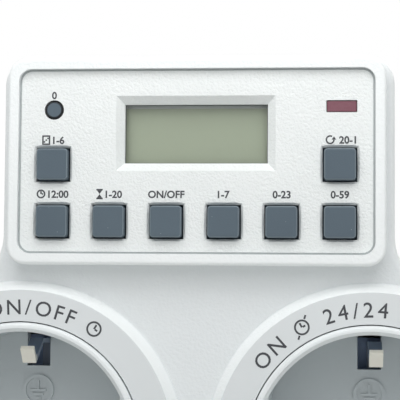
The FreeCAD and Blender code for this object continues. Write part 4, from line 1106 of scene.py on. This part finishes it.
def earth_sign(centre, name):
    loops = band(SIGN_R, SIGN_R - SIGN_RING_W, SIGN_RING_STEPS)
    loops.append(bar(0, SIGN_STROKE * 0.5, 0, SIGN_STEM, SIGN_STROKE))
    for i, half in enumerate(SIGN_BARS):
        z = -i * SIGN_BAR_STEP
        loops.append(bar(-half, z, half, z, SIGN_STROKE))
    bm = raised(loops, SIGN_T)
    shift(bm, centre.x, centre.z + SIGN_RISE, FLOOR_Y)
    piece_from(mesh_from(bm, name), name, cup_grey)


for side, centre in CUPS.items():
    earth_sign(centre, f"earth_sign_{side}")

# %% [markdown]
# ## The relay's winding
# A relay coil is hundreds of turns of enamelled wire. What shows is the outer layer, a row of close turns, so
# Geometry Nodes set one thin ring after another along the bobbin. The tree's inputs are its real sizes, and
# the result is baked to a plain mesh because instances don't survive the export.

# %% Winding tree
TURN_SIDES = 40
WIRE_SIDES = 6


def make_winding_tree(material):
    tree = bpy.data.node_groups.new("winding", "GeometryNodeTree")
    tree.interface.new_socket("Geometry", in_out="INPUT", socket_type="NodeSocketGeometry")
    for name in ("Length", "Radius", "Wire radius"):
        tree.interface.new_socket(name, in_out="INPUT", socket_type="NodeSocketFloat")
    tree.interface.new_socket("Turns", in_out="INPUT", socket_type="NodeSocketInt")
    tree.interface.new_socket("Geometry", in_out="OUTPUT", socket_type="NodeSocketGeometry")
    given = tree.nodes.new("NodeGroupInput").outputs
    row_end = put(tree, "ShaderNodeCombineXYZ", {"X": given["Length"]})
    row = put(tree, "GeometryNodeMeshLine", {"Count": given["Turns"]}, mode="END_POINTS")
    tree.links.new(row_end.outputs[0], row.inputs["Offset"])
    turn = put(tree, "GeometryNodeCurvePrimitiveCircle",
               {"Resolution": TURN_SIDES, "Radius": given["Radius"]})
    wire = put(tree, "GeometryNodeCurvePrimitiveCircle",
               {"Resolution": WIRE_SIDES, "Radius": given["Wire radius"]})
    tube = put(tree, "GeometryNodeCurveToMesh",
               {"Curve": turn.outputs["Curve"], "Profile Curve": wire.outputs["Curve"]})
    set_out = put(tree, "GeometryNodeInstanceOnPoints",
                  {"Points": row.outputs["Mesh"], "Instance": tube.outputs["Mesh"],
                   "Rotation": (0, math.radians(90), 0)})
    real = put(tree, "GeometryNodeRealizeInstances", {"Geometry": set_out.outputs["Instances"]})
    painted = put(tree, "GeometryNodeSetMaterial",
                  {"Geometry": real.outputs["Geometry"], "Material": material})
    put(tree, "NodeGroupOutput", {"Geometry": painted.outputs["Geometry"]})
    return tree


def baked(tree, name, values):
    """Runs a tree on an empty mesh and returns the plain mesh that it makes."""
    carrier = bpy.data.objects.new(name + "_maker", bpy.data.meshes.new(name + "_seed"))
    bpy.context.scene.collection.objects.link(carrier)
    modifier = carrier.modifiers.new("nodes", "NODES")
    modifier.node_group = tree
    for item in tree.interface.items_tree:
        if item.in_out == "INPUT" and item.name in values:
            modifier[item.identifier] = values[item.name]
    carrier.update_tag()
    bpy.context.view_layer.update()
    mesh = bpy.data.meshes.new_from_object(carrier.evaluated_get(bpy.context.evaluated_depsgraph_get()))
    bpy.data.objects.remove(carrier)
    mesh.name = name
    return mesh


copper = finish("enamelled_copper", (168, 84, 44), (150, 72, 38), 0.3, metal=0.8, depth=0.000004)
winding_tree = make_winding_tree(copper)
print("winding tree has", len(winding_tree.nodes), "nodes")

# %% [markdown]
# ## Winding the bobbin
# The turns fill the bobbin between its two cheeks, so their number is that length over the wire's thickness.
# It could be a count chosen by hand, but worked out like this it follows the frame.

# %% Relay winding
CHEEK_T = 0.8 * MM
COIL_R = 4.3 * MM
COIL_CLEAR = 1.0 * MM
WIRE_R = 0.12 * MM
coil_low, coil_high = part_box("relay_coil")
coil_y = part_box("relay_base")[0].y - COIL_R - COIL_CLEAR
winding_len = coil_high.x - coil_low.x - 2 * CHEEK_T - 2 * WIRE_R
turns = int(winding_len / (2 * WIRE_R))
winding = baked(winding_tree, "relay_winding", {
    "Length": winding_len, "Radius": COIL_R + WIRE_R, "Wire radius": WIRE_R, "Turns": turns})
winding.transform(Matrix.Translation((coil_low.x + CHEEK_T + WIRE_R, coil_y, middle("relay_coil").z)))
piece_from(winding, "relay_winding", copper)
print("winding", turns, "turns")

# %% [markdown]
# ## The shutters' springs
# The frame holds each spring as a straight rod. Here every rod becomes the wound wire that it stands for: a
# helix whose wire is swept along the rod's own axis and fills the rod's own space.

# %% Springs
SPRING_WIRE_R = 0.07 * MM
COILS = 15
STEPS = 14
SIDES = 6


def coil_mesh(name, rods):
    """A wound tube for each rod, given as its middle axis from low to high z and its outer radius."""
    bm = bmesh.new()
    upward = Vector((0, 0, 1))
    turn_angles = [2 * math.pi * k / SIDES for k in range(SIDES)]
    for x, y, z0, z1, outer in rods:
        r = outer - SPRING_WIRE_R
        pitch_run = z1 - z0 - 2 * SPRING_WIRE_R
        rings = []
        for i in range(COILS * STEPS + 1):
            share = i / (COILS * STEPS)
            angle = 2 * math.pi * COILS * share
            out = Vector((math.cos(angle), math.sin(angle), 0))
            centre = Vector((x + r * math.cos(angle), y + r * math.sin(angle),
                             z0 + SPRING_WIRE_R + pitch_run * share))
            rings.append([bm.verts.new(centre + SPRING_WIRE_R * (math.cos(t) * out + math.sin(t) * upward))
                          for t in turn_angles])
        for near, far in zip(rings, rings[1:]):
            for k in range(SIDES):
                bm.faces.new((near[k], near[(k + 1) % SIDES], far[(k + 1) % SIDES], far[k]))
        bm.faces.new(rings[0])
        bm.faces.new(rings[-1])
    bmesh.ops.recalc_face_normals(bm, faces=bm.faces)
    return mesh_from(bm, name)


def rods_of(node, centre):
    """The two rods of a spring node, one on each side of its socket's middle."""
    found = []
    for side in (-1, 1):
        points = [v.co for v in nodes[node].data.vertices if (v.co.x - centre.x) * side > 0]
        xs, ys, zs = ([p[i] for p in points] for i in range(3))
        found.append(((min(xs) + max(xs)) / 2, (min(ys) + max(ys)) / 2, min(zs), max(zs),
                      (max(xs) - min(xs)) / 2))
    return found


for side, centre in CUPS.items():
    node, name = f"shutter_springs_{side}", f"shutter_coils_{side}"
    coil = piece_from(coil_mesh(name, rods_of(node, centre)), name, zinc)
    for polygon in coil.data.polygons:
        polygon.use_smooth = True
    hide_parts(node)

# %% Update the scene
bpy.context.view_layer.update()
